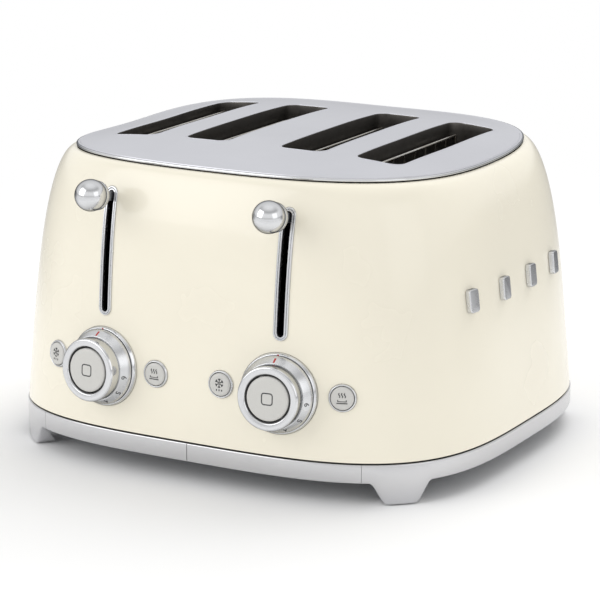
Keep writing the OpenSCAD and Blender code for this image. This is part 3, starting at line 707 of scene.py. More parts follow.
class TOASTER_OT_top_plate(bpy.types.Operator):
    """Make the domed plate with its rolled rim and the rolled lip of each bread slot"""
    bl_idname = "toaster.top_plate"
    bl_label = "Top Plate"
    bl_options = {"REGISTER", "UNDO"}

    def execute(self, context):
        scene, form = context.scene, Form(context.scene)
        a, b = form.plate_half()
        n = scene.toaster_body.square_high
        turns = 256
        rim = [(2.0, 0), (0.5, 0), (0.14, 0.16), (0, 0.6), (0, 1.0), (0.14, 1.4), (0.5, 1.7), (1.0, 1.8),
               (1.4, 1.72), (1.6, 1.6), (2.15, 1.5)]
        loops = [outline(a - inset * MM, b - inset * MM, n, form.plate_z + up * MM, 1, turns)
                 for inset, up in rim]
        shares = [1 - 0.02 * 1.19 ** k for k in range(19)] + [0.44, 0.34, 0.24, 0.14, 0.05]
        dome = []
        for p in shares:
            loop = outline(a * p, b * p, n, 0, 0, turns)
            loop[:, 2] = form.dome_z(loop[:, 0], loop[:, 1] - MID_Y)
            dome.append(loop)
        under = [loop - np.array([0, 0, scene.toaster_plate.sheet]) for loop in dome]
        data = make_mesh("top_plate", skin(dome[::-1] + loops[::-1] + under, caps=True))
        data.materials.append(finish("steel"))
        data.materials.append(finish("chrome"))
        for face in data.polygons:
            x, y = face.center.x, face.center.y - MID_Y
            p = ((abs(x) / a) ** n + (abs(y) / b) ** n) ** (1 / n)
            face.material_index = int(p > 1 - 0.9 * MM / b)
        holes = [self.hole(scene, x) for x in slot_places(scene)]
        data = cut(data, join(*holes))
        new_piece("domed_plate", data, None, "housing", ["top_plate"], 40)
        for name, x in zip(("outer_left", "inner_left", "inner_right", "outer_right"), slot_places(scene)):
            data = make_mesh("lip", self.lip(scene, form, x))
            data.materials.append(finish("steel"))
            data.materials.append(finish("slot"))
            # Below the dome the lip takes the dark heat-greyed steel, painted shade down inside the slot
            for face in data.polygons:
                x, y, z = face.center
                face.material_index = int(z < form.dome_z(x, y - MID_Y) - 0.2 * MM)
            new_piece("slot_lip_" + name, data, None, "housing")
        return {"FINISHED"}

    def hole(self, scene, x):
        sizes = scene.toaster_plate
        lap = 0.5 * MM
        points, normals = rounded_rectangle(sizes.slot_width, sizes.slot_length, sizes.slot_corner, 2 * MM)
        edge = points + normals * lap + np.array([x, slot_middle()])
        return skin([np.column_stack([edge, np.full(len(edge), z)]) for z in (0.18, 0.22)], caps=True)

    def lip(self, scene, form, x):
        """A rolled bead round the slot with a flange down to the chute."""
        sizes = scene.toaster_plate
        flange = CHUTE_HIGH.z - 0.5 * MM
        section = [(1.15, -0.4), (1.1, -0.02), (0.9, 0.2), (0.6, 0.3), (0.25, 0.26), (-0.05, 0.06),
                   (-0.25, -0.3), (-0.35, -0.9), (-0.35, None), (-0.05, None), (-0.02, -1.2), (0.6, -0.9)]
        points, normals = rounded_rectangle(sizes.slot_width, sizes.slot_length, sizes.slot_corner, 1.2 * MM)
        loops = []
        for out, up in section:
            flat = points + normals * out * MM + np.array([x, slot_middle()])
            height = np.full(len(flat), flange)
            if up is not None:
                height = form.dome_z(flat[:, 0], flat[:, 1] - MID_Y) + up * MM
            loops.append(np.column_stack([flat, height]))
        return skin(loops, ring=True)


def slot_places(scene):
    sizes = scene.toaster_plate
    return [-sizes.slot_outer, -sizes.slot_inner, sizes.slot_inner, sizes.slot_outer]


def slot_middle():
    return (CHUTE_LOW.y + CHUTE_HIGH.y) / 2


class TOASTER_OT_base(bpy.types.Operator):
    """Make the cast band with its four feet and the two crumb trays with their fronts"""
    bl_idname = "toaster.base"
    bl_label = "Base Band and Crumb Trays"
    bl_options = {"REGISTER", "UNDO"}
    gap = 0.2 * MM

    def execute(self, context):
        scene, form = context.scene, Form(context.scene)
        seam = scene.toaster_base.seam
        start, end = form.turn_at(seam), form.turn_at(-seam) + 2 * math.pi
        turns = np.linspace(start, end, 720)
        new_piece("foot_band", self.section(scene, form, turns, True), "cast", "housing",
                  ["base_band"], 40)
        for name, side in SIDES.items():
            ends = sorted([form.turn_at(side * self.gap), form.turn_at(side * (seam - self.gap))])
            front = self.section(scene, form, np.linspace(*ends, 160), False)
            pan = self.pan(scene, form, side)
            new_piece("tray_front_" + name, front, "cast", "tray_" + name,
                      ["crumb_tray_" + name], 40)
            new_piece("tray_pan_" + name, pan, "zinc", "tray_" + name)
        return {"FINISHED"}

    def section(self, scene, form, turns, footed):
        """A stretch of the band with eased edges, closed at both ends."""
        top, metal = BAND_HIGH.z, scene.toaster_base.metal
        foot = 10 * MM if footed else 0

        def lower(inset, deep, lift):
            return form.footed_loop(inset, deep if footed else 0, lift, turns)

        loops = [lower(0.9 * MM, 0, 0), lower(0.25 * MM, 0, 0.22 * MM), lower(0, 0, 0.9 * MM)]
        loops += [form.band_loop(inset * MM, top - down * MM, turns)
                  for inset, down in ((0, 0.7), (0.08, 0.35), (0.28, 0.1), (0.6, 0), (1.4, 0), (1.6, 0.2))]
        loops += [form.band_loop(metal, scene.toaster_base.low_z + 0.4 * MM, turns), lower(metal, foot, 0)]
        return skin(loops, ring=True, around=False, caps=True)

    def pan(self, scene, form, side):
        """A shallow pan behind the tray front, its front wall curved with the band."""
        metal = scene.toaster_base.metal
        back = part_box("crumb_tray_left" if side < 0 else "crumb_tray_right")[1].y
        inner_x, outer_x = 6 * MM, 108 * MM
        turns = np.linspace(form.turn_at(inner_x), form.turn_at(outer_x), 40)
        front = form.band_loop(metal - 0.05 * MM, 0, turns)
        corner = 4 * MM
        loop = [tuple(p[:2]) for p in front]
        for cx, start in ((outer_x - corner, 0), (inner_x + corner, math.pi / 2)):
            loop += [(cx + corner * math.cos(start + math.pi / 2 * i / 8),
                      back - corner + corner * math.sin(start + math.pi / 2 * i / 8)) for i in range(9)]
        loop = np.array(loop)
        ahead = np.roll(loop, -1, axis=0) - np.roll(loop, 1, axis=0)
        ahead /= np.linalg.norm(ahead, axis=1)[:, None]
        inward = np.stack([-ahead[:, 1], ahead[:, 0]], axis=1)
        floor, top = 15.6 * MM, 24.4 * MM
        section = [(2.2, floor), (1.0, floor + 0.25 * MM), (0.3, floor + 0.9 * MM), (0, floor + 2.2 * MM),
                   (0, top - 0.3 * MM), (0.12, top), (0.5, top), (0.7, top - 0.2 * MM),
                   (0.7, floor + 2.4 * MM), (1.0, floor + 1.5 * MM), (1.6, floor + 0.95 * MM),
                   (2.6, floor + 0.8 * MM)]
        loops = [np.column_stack([loop + inward * inset * MM, np.full(len(loop), z)])
                 for inset, z in section]
        mesh = skin(loops, caps=True)
        return mesh if side > 0 else moved(mesh, Matrix.Diagonal((-1, 1, 1, 1)))


class TOASTER_OT_lever_trims(bpy.types.Operator):
    """Make the double-edged trim round each lever slot"""
    bl_idname = "toaster.lever_trims"
    bl_label = "Lever Trims"
    bl_options = {"REGISTER", "UNDO"}

    def execute(self, context):
        scene, form = context.scene, Form(context.scene)
        section = [(-0.02, -1.6), (-0.02, 0.3), (-0.1, 0.7), (-0.35, 1.0), (-0.8, 0.98), (-1.05, 0.6),
                   (-1.15, 0.2), (-1.35, 0.2), (-1.45, 0.6), (-1.7, 0.92), (-2.3, 0.9), (-2.5, 0.55),
                   (-2.55, 0), (-2.55, -1.9)]
        for name, side in SIDES.items():
            loops = []
            for grow, out in section:
                path = trim_path(scene, side * scene.toaster_controls.control_x, grow * MM)
                y = form.face_y(path[:, 0], path[:, 1]) + MID_Y - out * MM
                loops.append(np.column_stack([path[:, 0], y, path[:, 1]]))
            new_piece("slot_trim_" + name, skin(loops, ring=True), "pearl",
                      "housing", ["lever_trim_" + name])
        return {"FINISHED"}


class TOASTER_OT_levers(bpy.types.Operator):
    """Make the lever balls with their collars"""
    bl_idname = "toaster.levers"
    bl_label = "Lever Balls"
    bl_options = {"REGISTER", "UNDO"}

    def execute(self, context):
        scene = context.scene
        r = scene.toaster_controls.ball / MM
        tilt = math.radians(12)
        collar, reach = r - 0.8, 7.5
        for name in SIDES:
            low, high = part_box("lever_ball_" + name)
            middle = Vector(((low.x + high.x) / 2, low.y + r * MM, high.z - r * MM))
            place = Matrix.Translation(middle) @ Matrix.Rotation(-math.pi / 2 - tilt, 4, "X")
            edge = math.acos(collar / r)
            sphere = [(r * MM * math.sin(a), -r * MM * math.cos(a))
                      for a in np.linspace(0, math.pi / 2 + edge, 48)]
            neck = rounded([(collar - 0.5, 3.2), (collar - 0.5, 4.4, 0.1), (collar, 4.4, 0.3),
                            (collar, reach, 0.8), (2, reach, 0.2), (2, 3.2)])
            inside = [(collar * MM - 0.6 * MM, sphere[-1][1] - 0.1 * MM), (0, sphere[-1][1] - 0.1 * MM)]
            ball = lathe(sphere + inside, place, 96, ring=False)
            new_piece("ball_" + name, ball, "ball", "lift_" + name,
                      ["lever_ball_" + name])
            new_piece("ball_collar_" + name, lathe(neck, place), "pearl", "lift_" + name)
        return {"FINISHED"}


class TOASTER_OT_dials(bpy.types.Operator):
    """Make the dial rings, the numbered dials with their marks and the stop caps"""
    bl_idname = "toaster.dials"
    bl_label = "Dials"
    bl_options = {"REGISTER", "UNDO"}
    skirt_low = (23.3, 5.0)
    skirt_high = (20.3, 9.5)

    def execute(self, context):
        scene, form = context.scene, Form(context.scene)
        sizes = scene.toaster_controls
        ring, drum, cap = sizes.ring / MM, sizes.drum / MM, sizes.cap / MM
        fixed = rounded([(5.6, -3), (ring, -3), (ring, 0.5, 0.3), (ring - 0.5, 1.5, 0.5),
                         (ring - 1.0, 2.2, 0.3), (ring - 1.5, 2.2, 0.1), (ring - 1.5, 1.5), (5.6, 1.5)])
        skirt = rounded([(5.6, 2.6), (23.8, 2.6, 0.2), (23.8, 3.6, 0.3), (23.3, 5.0, 0.5), (20.4, 9.35, 0.2),
                         (18, 9.35), (5.6, 9.0)])
        barrel = rounded([(18.6, 9.4), (drum - 0.35, 9.4), (drum - 0.35, 9.9, 0.1), (drum, 10.1, 0.2),
                          (drum, 16.4, 0.9), (drum - 0.9, 17.5, 0.7), (cap + 1.7, 17.3, 0.4),
                          (cap + 1.2, 16.6, 0.3), (cap + 1.2, 9.4)])
        sleeve = rounded([(cap + 0.55, 9.0), (cap + 1.25, 9.0), (cap + 1.25, 16.3, 0.1),
                          (cap + 0.55, 15.9, 0.2)])
        stem = rounded([(3.2, -22), (5, -22, 0.4), (5, 8.3), (cap + 0.8, 8.3), (cap + 0.8, 9), (3.2, 9)])
        button = rounded([(0, 10.8), (cap, 10.8, 0.3), (cap, 16.7, 0.8), (cap - 1.4, 17.25, 0.6), (0, 17.4)],
                         closed=False)
        rod = rounded([(0, -21), (2.9, -21, 0.4), (2.9, 10.9), (0, 10.9)], closed=False)
        for name, side in SIDES.items():
            place = form.on_front(side * sizes.control_x, sizes.dial_z)
            body = "dial_" + name
            new_piece("fixed_ring_" + name, lathe(fixed, place, 160), "chrome", "housing",
                      ["dial_ring_" + name])
            new_piece("dial_skirt_" + name, lathe(skirt, place, 160), "pearl", body,
                      ["dial_knob_" + name])
            new_piece("dial_drum_" + name, lathe(barrel, place, 160), "chrome", body)
            new_piece("dial_sleeve_" + name, join(lathe(sleeve, place, 96), lathe(stem, place, 48)),
                      "black", body)
            new_piece("dial_numbers_" + name, self.numbers(scene, place), "ink", body)
            new_piece("dial_mark_" + name, self.mark(place, 20.9, 23.0), "mark", body)
            new_piece("ring_mark_" + name, self.ring_mark(place, ring), "mark", "housing")
            pushed = join(lathe(button, place, 128, False), lathe(rod, place, 32, False))
            new_piece("stop_cap_" + name, pushed,
                      "button", "stop_" + name, ["stop_button_" + name])
            new_piece("stop_sign_" + name, moved(self.stop_sign(), place), "ink", "stop_" + name)
        return {"FINISHED"}

    def on_skirt(self, along, up, lift):
        """Carries a flat sign to the sloping skirt: along is the angle, up runs outwards, all in metres."""
        low, high = np.array(self.skirt_low) * MM, np.array(self.skirt_high) * MM
        slope = (low - high) / np.linalg.norm(low - high)
        normal = np.array([-slope[1], slope[0]])
        middle = (low + high) / 2
        flat = middle + np.outer(up, slope) + np.outer(lift, normal)
        return np.column_stack([flat[:, 0] * np.cos(along), flat[:, 0] * np.sin(along), flat[:, 1]])

    def numbers(self, scene, place):
        """The numbers 1 to 6 round the skirt, tops outwards."""
        parts = []
        radius = (self.skirt_low[0] + self.skirt_high[0]) / 2 * MM
        for k in range(1, 7):
            text = bpy.data.curves.new("number", "FONT")
            text.body = str(k)
            text.size = scene.toaster_controls.digit
            text.align_x, text.align_y = "CENTER", "CENTER"
            text.extrude = 0.05 * MM
            text.offset = 0.05 * MM
            data = evaluated(new_object("number", text))
            points = np.array([v.co for v in data.vertices])
            faces = [tuple(p.vertices) for p in data.polygons]
            bpy.data.meshes.remove(data)
            angle = math.pi / 2 + math.radians(112 + 30 * (k - 1))
            parts.append((self.on_skirt(angle - points[:, 0] / radius, points[:, 1], points[:, 2]), faces))
        return moved(join(*parts), place)

    def mark(self, place, inner, outer):
        """The pointer mark on the dial's skirt."""
        path, faces = stroke([(0, -1.9), (0, -0.6), (0, 0.6), (0, 1.9)], 1.2 * MM, 0.05 * MM)
        radius = (inner + outer) / 2 * MM
        points = self.on_skirt(math.pi / 2 - path[:, 0] / radius, path[:, 1], path[:, 2])
        return moved((points, faces), place)

    def ring_mark(self, place, ring):
        path, faces = stroke([(0, ring - 1.5), (0, ring - 0.9)], 1.2 * MM, 0.05 * MM)
        return moved((path + np.array([0, 0, 2.2 * MM]), faces), place)

    def stop_sign(self):
        """A plain rounded square on the cap."""
        points, _ = rounded_rectangle(7, 7, 1.6, 0.8)
        path, faces = stroke(points, 0.7 * MM, 0.06 * MM, closed=True)
        return path + np.array([0, 0, 17.36 * MM]), faces


class TOASTER_OT_buttons(bpy.types.Operator):
    """Make the four small buttons with their bezels and signs"""
    bl_idname = "toaster.buttons"
    bl_label = "Small Buttons"
    bl_options = {"REGISTER", "UNDO"}

    def execute(self, context):
        scene, form = context.scene, Form(context.scene)
        sizes = scene.toaster_controls
        cap, rim = sizes.button / MM, sizes.bezel / MM
        bezel = rounded([(cap + 0.25, -3), (rim, -3), (rim, 0.6, 0.3), (rim - 0.5, 1.4, 0.4),
                         (cap + 0.6, 1.4, 0.2), (cap + 0.25, 0.9, 0.2)])
        button = rounded([(0, -2.4), (cap, -2.4, 0.3), (cap, 1.5, 0.6), (cap - 1.0, 2.12, 0.6), (0, 2.4)],
                         closed=False)
        rod = rounded([(0, -10), (3, -10, 0.4), (3, -2.3), (0, -2.3)], closed=False)
        rings = []
        for name, side in SIDES.items():
            for kind, step, sign in (("defrost", -sizes.button_step, self.frost()),
                                     ("reheat", sizes.button_step, self.heat())):
                place = form.on_front(side * sizes.control_x + step, sizes.dial_z + sizes.button_lift)
                rings.append(lathe(bezel, place, 96))
                body = f"{kind}_{name}"
                pushed = join(lathe(button, place, 96, False), lathe(rod, place, 24, False))
                new_piece(f"{kind}_cap_{name}", pushed,
                          "button", body, [f"{kind}_button_{name}"])
                sign_points = sign[0] + np.array([0, 0, 2.33 * MM])
                new_piece(f"{kind}_sign_{name}", moved((sign_points, sign[1]), place), "ink", body)
        new_piece("bezels", join(*rings), "pearl", "housing", ["button_bezels"])
        return {"FINISHED"}

    def frost(self):
        """A six-armed ice star over three drops."""
        lines = []
        for k in range(6):
            angle = math.pi / 3 * k + math.pi / 6
            arm = np.array([math.cos(angle), math.sin(angle)])
            across = np.array([-arm[1], arm[0]])
            centre = np.array([0, 1.0])
            lines.append([centre + arm * 0.3, centre + arm * 2.9])
            tip = centre + arm * 2.7
            lines.append([tip + across * 0.8, centre + arm * 1.8, tip - across * 0.8])
        for x in (-1.8, 0, 1.8):
            lines.append([(x, -2.8), (x, -3.9)])
        return join(*(stroke(line, 0.56 * MM, 0.07 * MM) for line in lines))

    def heat(self):
        """Three waves of heat over a slice on a plate."""
        lines = []
        for x in (-1.7, 0, 1.7):
            lines.append([(x + 0.4 * math.sin(2 * math.pi * s), 0.6 + 2.8 * s)
                          for s in np.linspace(0, 1, 15)])
        lines.append([(-2.6, -0.8), (-2.6, -1.8), (2.6, -1.8), (2.6, -0.8)])
        lines.append([(-3.3, -2.9), (3.3, -2.9)])
        return join(*(stroke(line, 0.56 * MM, 0.07 * MM) for line in lines))


class TOASTER_OT_side_tiles(bpy.types.Operator):
    """Make the plain bright tiles on the two side walls"""
    bl_idname = "toaster.side_tiles"
    bl_label = "Side Tiles"
    bl_options = {"REGISTER", "UNDO"}

    def execute(self, context):
        form = Form(context.scene)
        low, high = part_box("side_tiles")
        middle_z = (low.z + high.z) / 2
        first, last = low.y + 4.6 * MM, high.y - 4.6 * MM
        section = [(0, 0.25), (0, 2.9), (0.12, 3.3), (0.4, 3.58), (0.9, 3.65)]
        tiles = []
        for side in SIDES.values():
            for i in range(4):
                y = first + (last - first) * i / 3 - MID_Y
                points, normals = rounded_rectangle(9 * MM, 14.5 * MM, 2 * MM, 0.5 * MM)
                loops = [np.column_stack([points - normals * inset * MM, np.full(len(points), out * MM)])
                         for inset, out in section]
                tiles.append(moved(skin(loops, caps=True), form.on_side(side, y, middle_z)))
        new_piece("tiles", join(*tiles), "pearl", "housing", ["side_tiles"])
        return {"FINISHED"}


class TOASTER_OT_sheet_parts(bpy.types.Operator):
    """Make eased copies of the folded sheets, hooks and blocks inside and under the body"""
    bl_idname = "toaster.sheet_parts"
    bl_label = "Sheet Parts"
    bl_options = {"REGISTER", "UNDO"}

    def execute(self, context):
        eased = {"bottom_plate": "zinc", "front_bulkhead": "zinc", "rear_bulkhead": "zinc",
                 "cord_hooks": "black", "terminal_block": "pale"}
        for name in SIDES:
            eased.update({"carriage_" + name: "zinc", "bread_lift_" + name: "wire",
                          "side_shield_" + name: "zinc", "magnet_" + name: "copper",
                          "control_board_" + name: "board", "dial_switch_" + name: "black"})
        bodies = {n: b for b, members in frame["record"]["behaviour"]["bodies"].items() for n in members}
        ease = 0.2 * MM
        for node, kind in eased.items():
            new_piece("eased_" + node, eased_copy(node, ease), kind, bodies[node], [node])
        # The chutes' dark heat-greyed steel is partly heat tint, partly painted shade inside the slots
        # The seals' black rubber also darkens the thin gaps under the plate rim and over the band: own
        # colour and painted shade
        plain = {"plate_seal": "rubber", "base_seal": "rubber", "slot_chutes": "slot"}
        plain.update({f"heater_board_{k}": "mica" for k in range(1, 7)})
        plain.update({"guide_rod_" + name: "wire" for name in SIDES})
        for node, kind in plain.items():
            NODES[node].data.materials.clear()
            NODES[node].data.materials.append(finish(kind))
        return {"FINISHED"}


class TOASTER_OT_small_parts(bpy.types.Operator):
    """Make the rubber feet, the base screws and the cord gland"""
    bl_idname = "toaster.small_parts"
    bl_label = "Feet, Screws and Gland"
    bl_options = {"REGISTER", "UNDO"}

    def execute(self, context):
        form = Form(context.scene)
        tree = self.copies()
        low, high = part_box("foot_pads")
        r = 4.5 * MM
        pad = rounded([(0, 0), (4.5, 0, 0.3), (4.5, 0.8, 0.2), (0, 0.8)], closed=False)
        places = [(x, y, low.z) for x in (low.x + r, high.x - r) for y in (low.y + r, high.y - r)]
        self.spread_out("pads", tree, lathe(pad, Matrix.Identity(4), 48, False), places, "rubber",
                        "foot_pads")
        low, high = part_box("base_screws")
        r = 3.2 * MM
        screw = rounded([(0, 0.5), (1.1, 0.5), (1.1, 0, 0.05), (2.4, 0, 0.6), (3.2, 0.8, 0.3), (3.2, 1.8),
                         (1.5, 1.8), (1.5, 6.6), (1.0, 7.0), (0, 7.0)], closed=False)
        places = [(x, y, low.z) for x in (low.x + r, high.x - r) for y in (low.y + r, high.y - r)]
        self.spread_out("screws", tree, lathe(screw, Matrix.Identity(4), 32, False), places, "zinc",
                        "base_screws")
        gland = rounded([(3.6, -7.9, 0.3), (7.5, -7.9, 0.4), (7.5, 0.1), (9, 0.1, 0.1), (9, 0.7, 0.6),
                         (7.6, 1.3, 0.4), (4.6, 1.3, 0.5), (3.6, 0.5, 0.5)])
        gland_z = 46 * MM
        new_piece("gland", lathe(gland, form.on_back(gland_z)), "rubber", "housing",
                  ["cord_gland"])
        return {"FINISHED"}

    def copies(self):
        """Sets a copy of a shape on every point."""
        tree, given = new_tree("copies_on_points", {"Shape": "NodeSocketObject"})
        shape = add(tree, "GeometryNodeObjectInfo", {"Object": given["Shape"]})
        laid = add(tree, "GeometryNodeInstanceOnPoints", {"Points": given["Geometry"],
                                                          "Instance": shape.outputs["Geometry"]})
        return end_tree(tree, given, laid.outputs[0])

    def spread_out(self, name, tree, shape, places, kind, node):
        pattern = new_object("pattern", make_mesh("pattern", shape))
        data = grown(name, tree, places, finish(kind), Shape=pattern)
        drop(pattern)
        new_piece(name, data, kind, "housing", [node])


class TOASTER_OT_wire_parts(bpy.types.Operator):
    """Grow the lift springs, the bread guides and the heater ribbons with geometry nodes"""
    bl_idname = "toaster.wire_parts"
    bl_label = "Springs, Guides and Ribbons"
    bl_options = {"REGISTER", "UNDO"}

    def execute(self, context):
        self.springs()
        self.guides()
        self.ribbons()
        return {"FINISHED"}

    def springs(self):
        tree, given = new_tree("coil_spring", {"Height": "NodeSocketFloat", "Coil Radius": "NodeSocketFloat",
                                               "Wire Radius": "NodeSocketFloat", "Turns": "NodeSocketFloat"})
        coil = add(tree, "GeometryNodeCurveSpiral",
                   {"Resolution": 24, "Rotations": given["Turns"], "Start Radius": given["Coil Radius"],
                    "End Radius": given["Coil Radius"], "Height": given["Height"]})
        wire = add(tree, "GeometryNodeCurvePrimitiveCircle", {"Resolution": 10,
                                                              "Radius": given["Wire Radius"]})
        tube = add(tree, "GeometryNodeCurveToMesh", {"Curve": coil.outputs[0],
                                                     "Profile Curve": wire.outputs[0], "Fill Caps": True})
        laid = add(tree, "GeometryNodeInstanceOnPoints", {"Points": given["Geometry"],
                                                          "Instance": tube.outputs[0]})
        end_tree(tree, given, laid.outputs[0])
        thick = 0.45 * MM
        for name in SIDES:
            low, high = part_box("lift_spring_" + name)
            foot = Vector(((low.x + high.x) / 2, (low.y + high.y) / 2, low.z + thick))
            data = grown("spring", tree, [foot], finish("wire"),
                         **{"Height": high.z - low.z - 2 * thick, "Wire Radius": thick,
                            "Coil Radius": (high.x - low.x) / 2 - thick, "Turns": 13.0})
            piece = new_piece("spring_" + name, data, "wire", None,
                              ["lift_spring_" + name])
            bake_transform(piece)

    def guides(self):
        tree, given = new_tree("wire_panel", {"Length": "NodeSocketFloat", "Height": "NodeSocketFloat",
                                              "Bar Pitch": "NodeSocketFloat", "Bars": "NodeSocketInt",
                                              "Rail Pitch": "NodeSocketFloat", "Rails": "NodeSocketInt",
                                              "Wire Radius": "NodeSocketFloat"})
        panels = []
        for count, pitch, axis, run in (("Bars", "Bar Pitch", 1, "Height"),
                                        ("Rails", "Rail Pitch", 2, "Length")):
            step = add(tree, "ShaderNodeCombineXYZ", {axis: given[pitch]})
            row = add(tree, "GeometryNodeMeshLine", {"Count": given[count], "Offset": step.outputs[0]},
                      mode="OFFSET")
            rod = add(tree, "GeometryNodeMeshCylinder", {"Vertices": 10, "Radius": given["Wire Radius"],
                                                         "Depth": given[run]})
            half = add(tree, "ShaderNodeMath", {0: given[run], 1: 0.5}, operation="MULTIPLY")
            turn = (0, 0, 0) if axis == 1 else (-math.pi / 2, 0, 0)
            shift = add(tree, "ShaderNodeCombineXYZ", {3 - axis: half.outputs[0]})
            laid = add(tree, "GeometryNodeTransform", {"Geometry": rod.outputs[0], "Rotation": turn,
                                                       "Translation": shift.outputs[0]})
            spread = add(tree, "GeometryNodeInstanceOnPoints", {"Points": row.outputs[0],
                                                                "Instance": laid.outputs[0]})
            panels.append(spread.outputs[0])
        both = add(tree, "GeometryNodeJoinGeometry")
        for part in panels:
            tree.links.new(part, both.inputs[0])
        spread_over = add(tree, "GeometryNodeInstanceOnPoints", {"Points": given["Geometry"],
                                                                 "Instance": both.outputs[0]})
        end_tree(tree, given, spread_over.outputs[0])
        r = 0.8 * MM
        front, back, foot, top = -62 * MM + MID_Y, 73 * MM + MID_Y, 50 * MM, 191 * MM
        link_front, link_back = -71.4 * MM + MID_Y, 82.4 * MM + MID_Y
        link_z = {"a": 173 * MM, "b": 176 * MM}
        for side in SIDES:
            for hand in "ab":
                node = f"bread_guide_{side}_{hand}"
                low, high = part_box(node)
                places = [(x, front + r, foot + r) for x in (low.x + r, high.x - r)]
                grid = grown(node, tree, places, finish("wire"),
                             **{"Length": back - front - 2 * r, "Height": top - foot - 2 * r, "Bars": 10,
                                "Bar Pitch": (back - front - 2 * r) / 9, "Rails": 3,
                                "Rail Pitch": (top - foot - 2 * r) / 2, "Wire Radius": r})
                z = link_z[hand] + r
                inner = (low.x + r, high.x - r)
                wires = []
                for start, reach in ((front + r, link_front + r), (back - r, link_back - r)):
                    path = [(inner[0], start), (inner[0], reach), (inner[1], reach), (inner[1], start)]
                    wires.append(bent_wire(path, z, r))
                data = make_mesh(node, join(*wires, from_data(grid)))
                new_piece("guide_wires_" + side + "_" + hand, data, "wire", f"guide_{side}_{hand}",
                          [node])

    def ribbons(self):
        tree, given = new_tree("ribbon_stack", {"Count": "NodeSocketInt", "Pitch": "NodeSocketFloat",
                                                "Thickness": "NodeSocketFloat", "Length": "NodeSocketFloat",
                                                "Width": "NodeSocketFloat"})
        size = add(tree, "ShaderNodeCombineXYZ", {0: given["Thickness"], 1: given["Length"],
                                                  2: given["Width"]})
        ribbon = add(tree, "GeometryNodeMeshCube", {"Size": size.outputs[0]})
        step = add(tree, "ShaderNodeCombineXYZ", {2: given["Pitch"]})
        row = add(tree, "GeometryNodeMeshLine", {"Count": given["Count"], "Offset": step.outputs[0]},
                  mode="OFFSET")
        column = add(tree, "GeometryNodeInstanceOnPoints", {"Points": row.outputs[0],
                                                            "Instance": ribbon.outputs[0]})
        laid = add(tree, "GeometryNodeInstanceOnPoints", {"Points": given["Geometry"],
                                                          "Instance": column.outputs[0]})
        end_tree(tree, given, laid.outputs[0])
        low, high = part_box("heater_ribbons")
        thick, wide, count = 0.4 * MM, 2.2 * MM, 9
        y, z = (low.y + high.y) / 2, low.z + wide / 2
        places = []
        for k in range(1, 7):
            board_low, board_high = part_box(f"heater_board_{k}")
            if k not in (1, 4):
                places.append((board_low.x - thick / 2, y, z))
            if k not in (3, 6):
                places.append((board_high.x + thick / 2, y, z))
        data = grown("ribbons", tree, places, finish("ribbon"),
                     **{"Count": count, "Pitch": (high.z - low.z - wide) / (count - 1), "Thickness": thick,
                        "Length": high.y - low.y, "Width": wide})
        new_piece("ribbons", data, "ribbon", "housing", ["heater_ribbons"])


def from_data(data):
    """Points and faces of a ready mesh, which is removed."""
    mesh = ([tuple(v.co) for v in data.vertices], [tuple(p.vertices) for p in data.polygons])
    bpy.data.meshes.remove(data)
    return mesh


def bent_wire(corners, z, r, sides=10):
    """A round wire through corners in a level plane, mitred at each bend."""
    corners = [np.array([*c, z]) for c in corners]
    loops = []
    for i, here in enumerate(corners):
        before = corners[max(i - 1, 0)]
        after = corners[min(i + 1, len(corners) - 1)]
        way = [v / np.linalg.norm(v) for v in (here - before, after - here) if np.linalg.norm(v) > 0]
        along = sum(way) / np.linalg.norm(sum(way))
        mitre = 1 / abs(along @ way[0])
        side = np.cross(along, (0, 0, 1))
        loops.append(np.array([here + r * (side * mitre * math.cos(t) - np.array([0, 0, 1]) * math.sin(t))
                               for t in np.arange(sides) * 2 * math.pi / sides]))
    return skin(loops, caps=True)


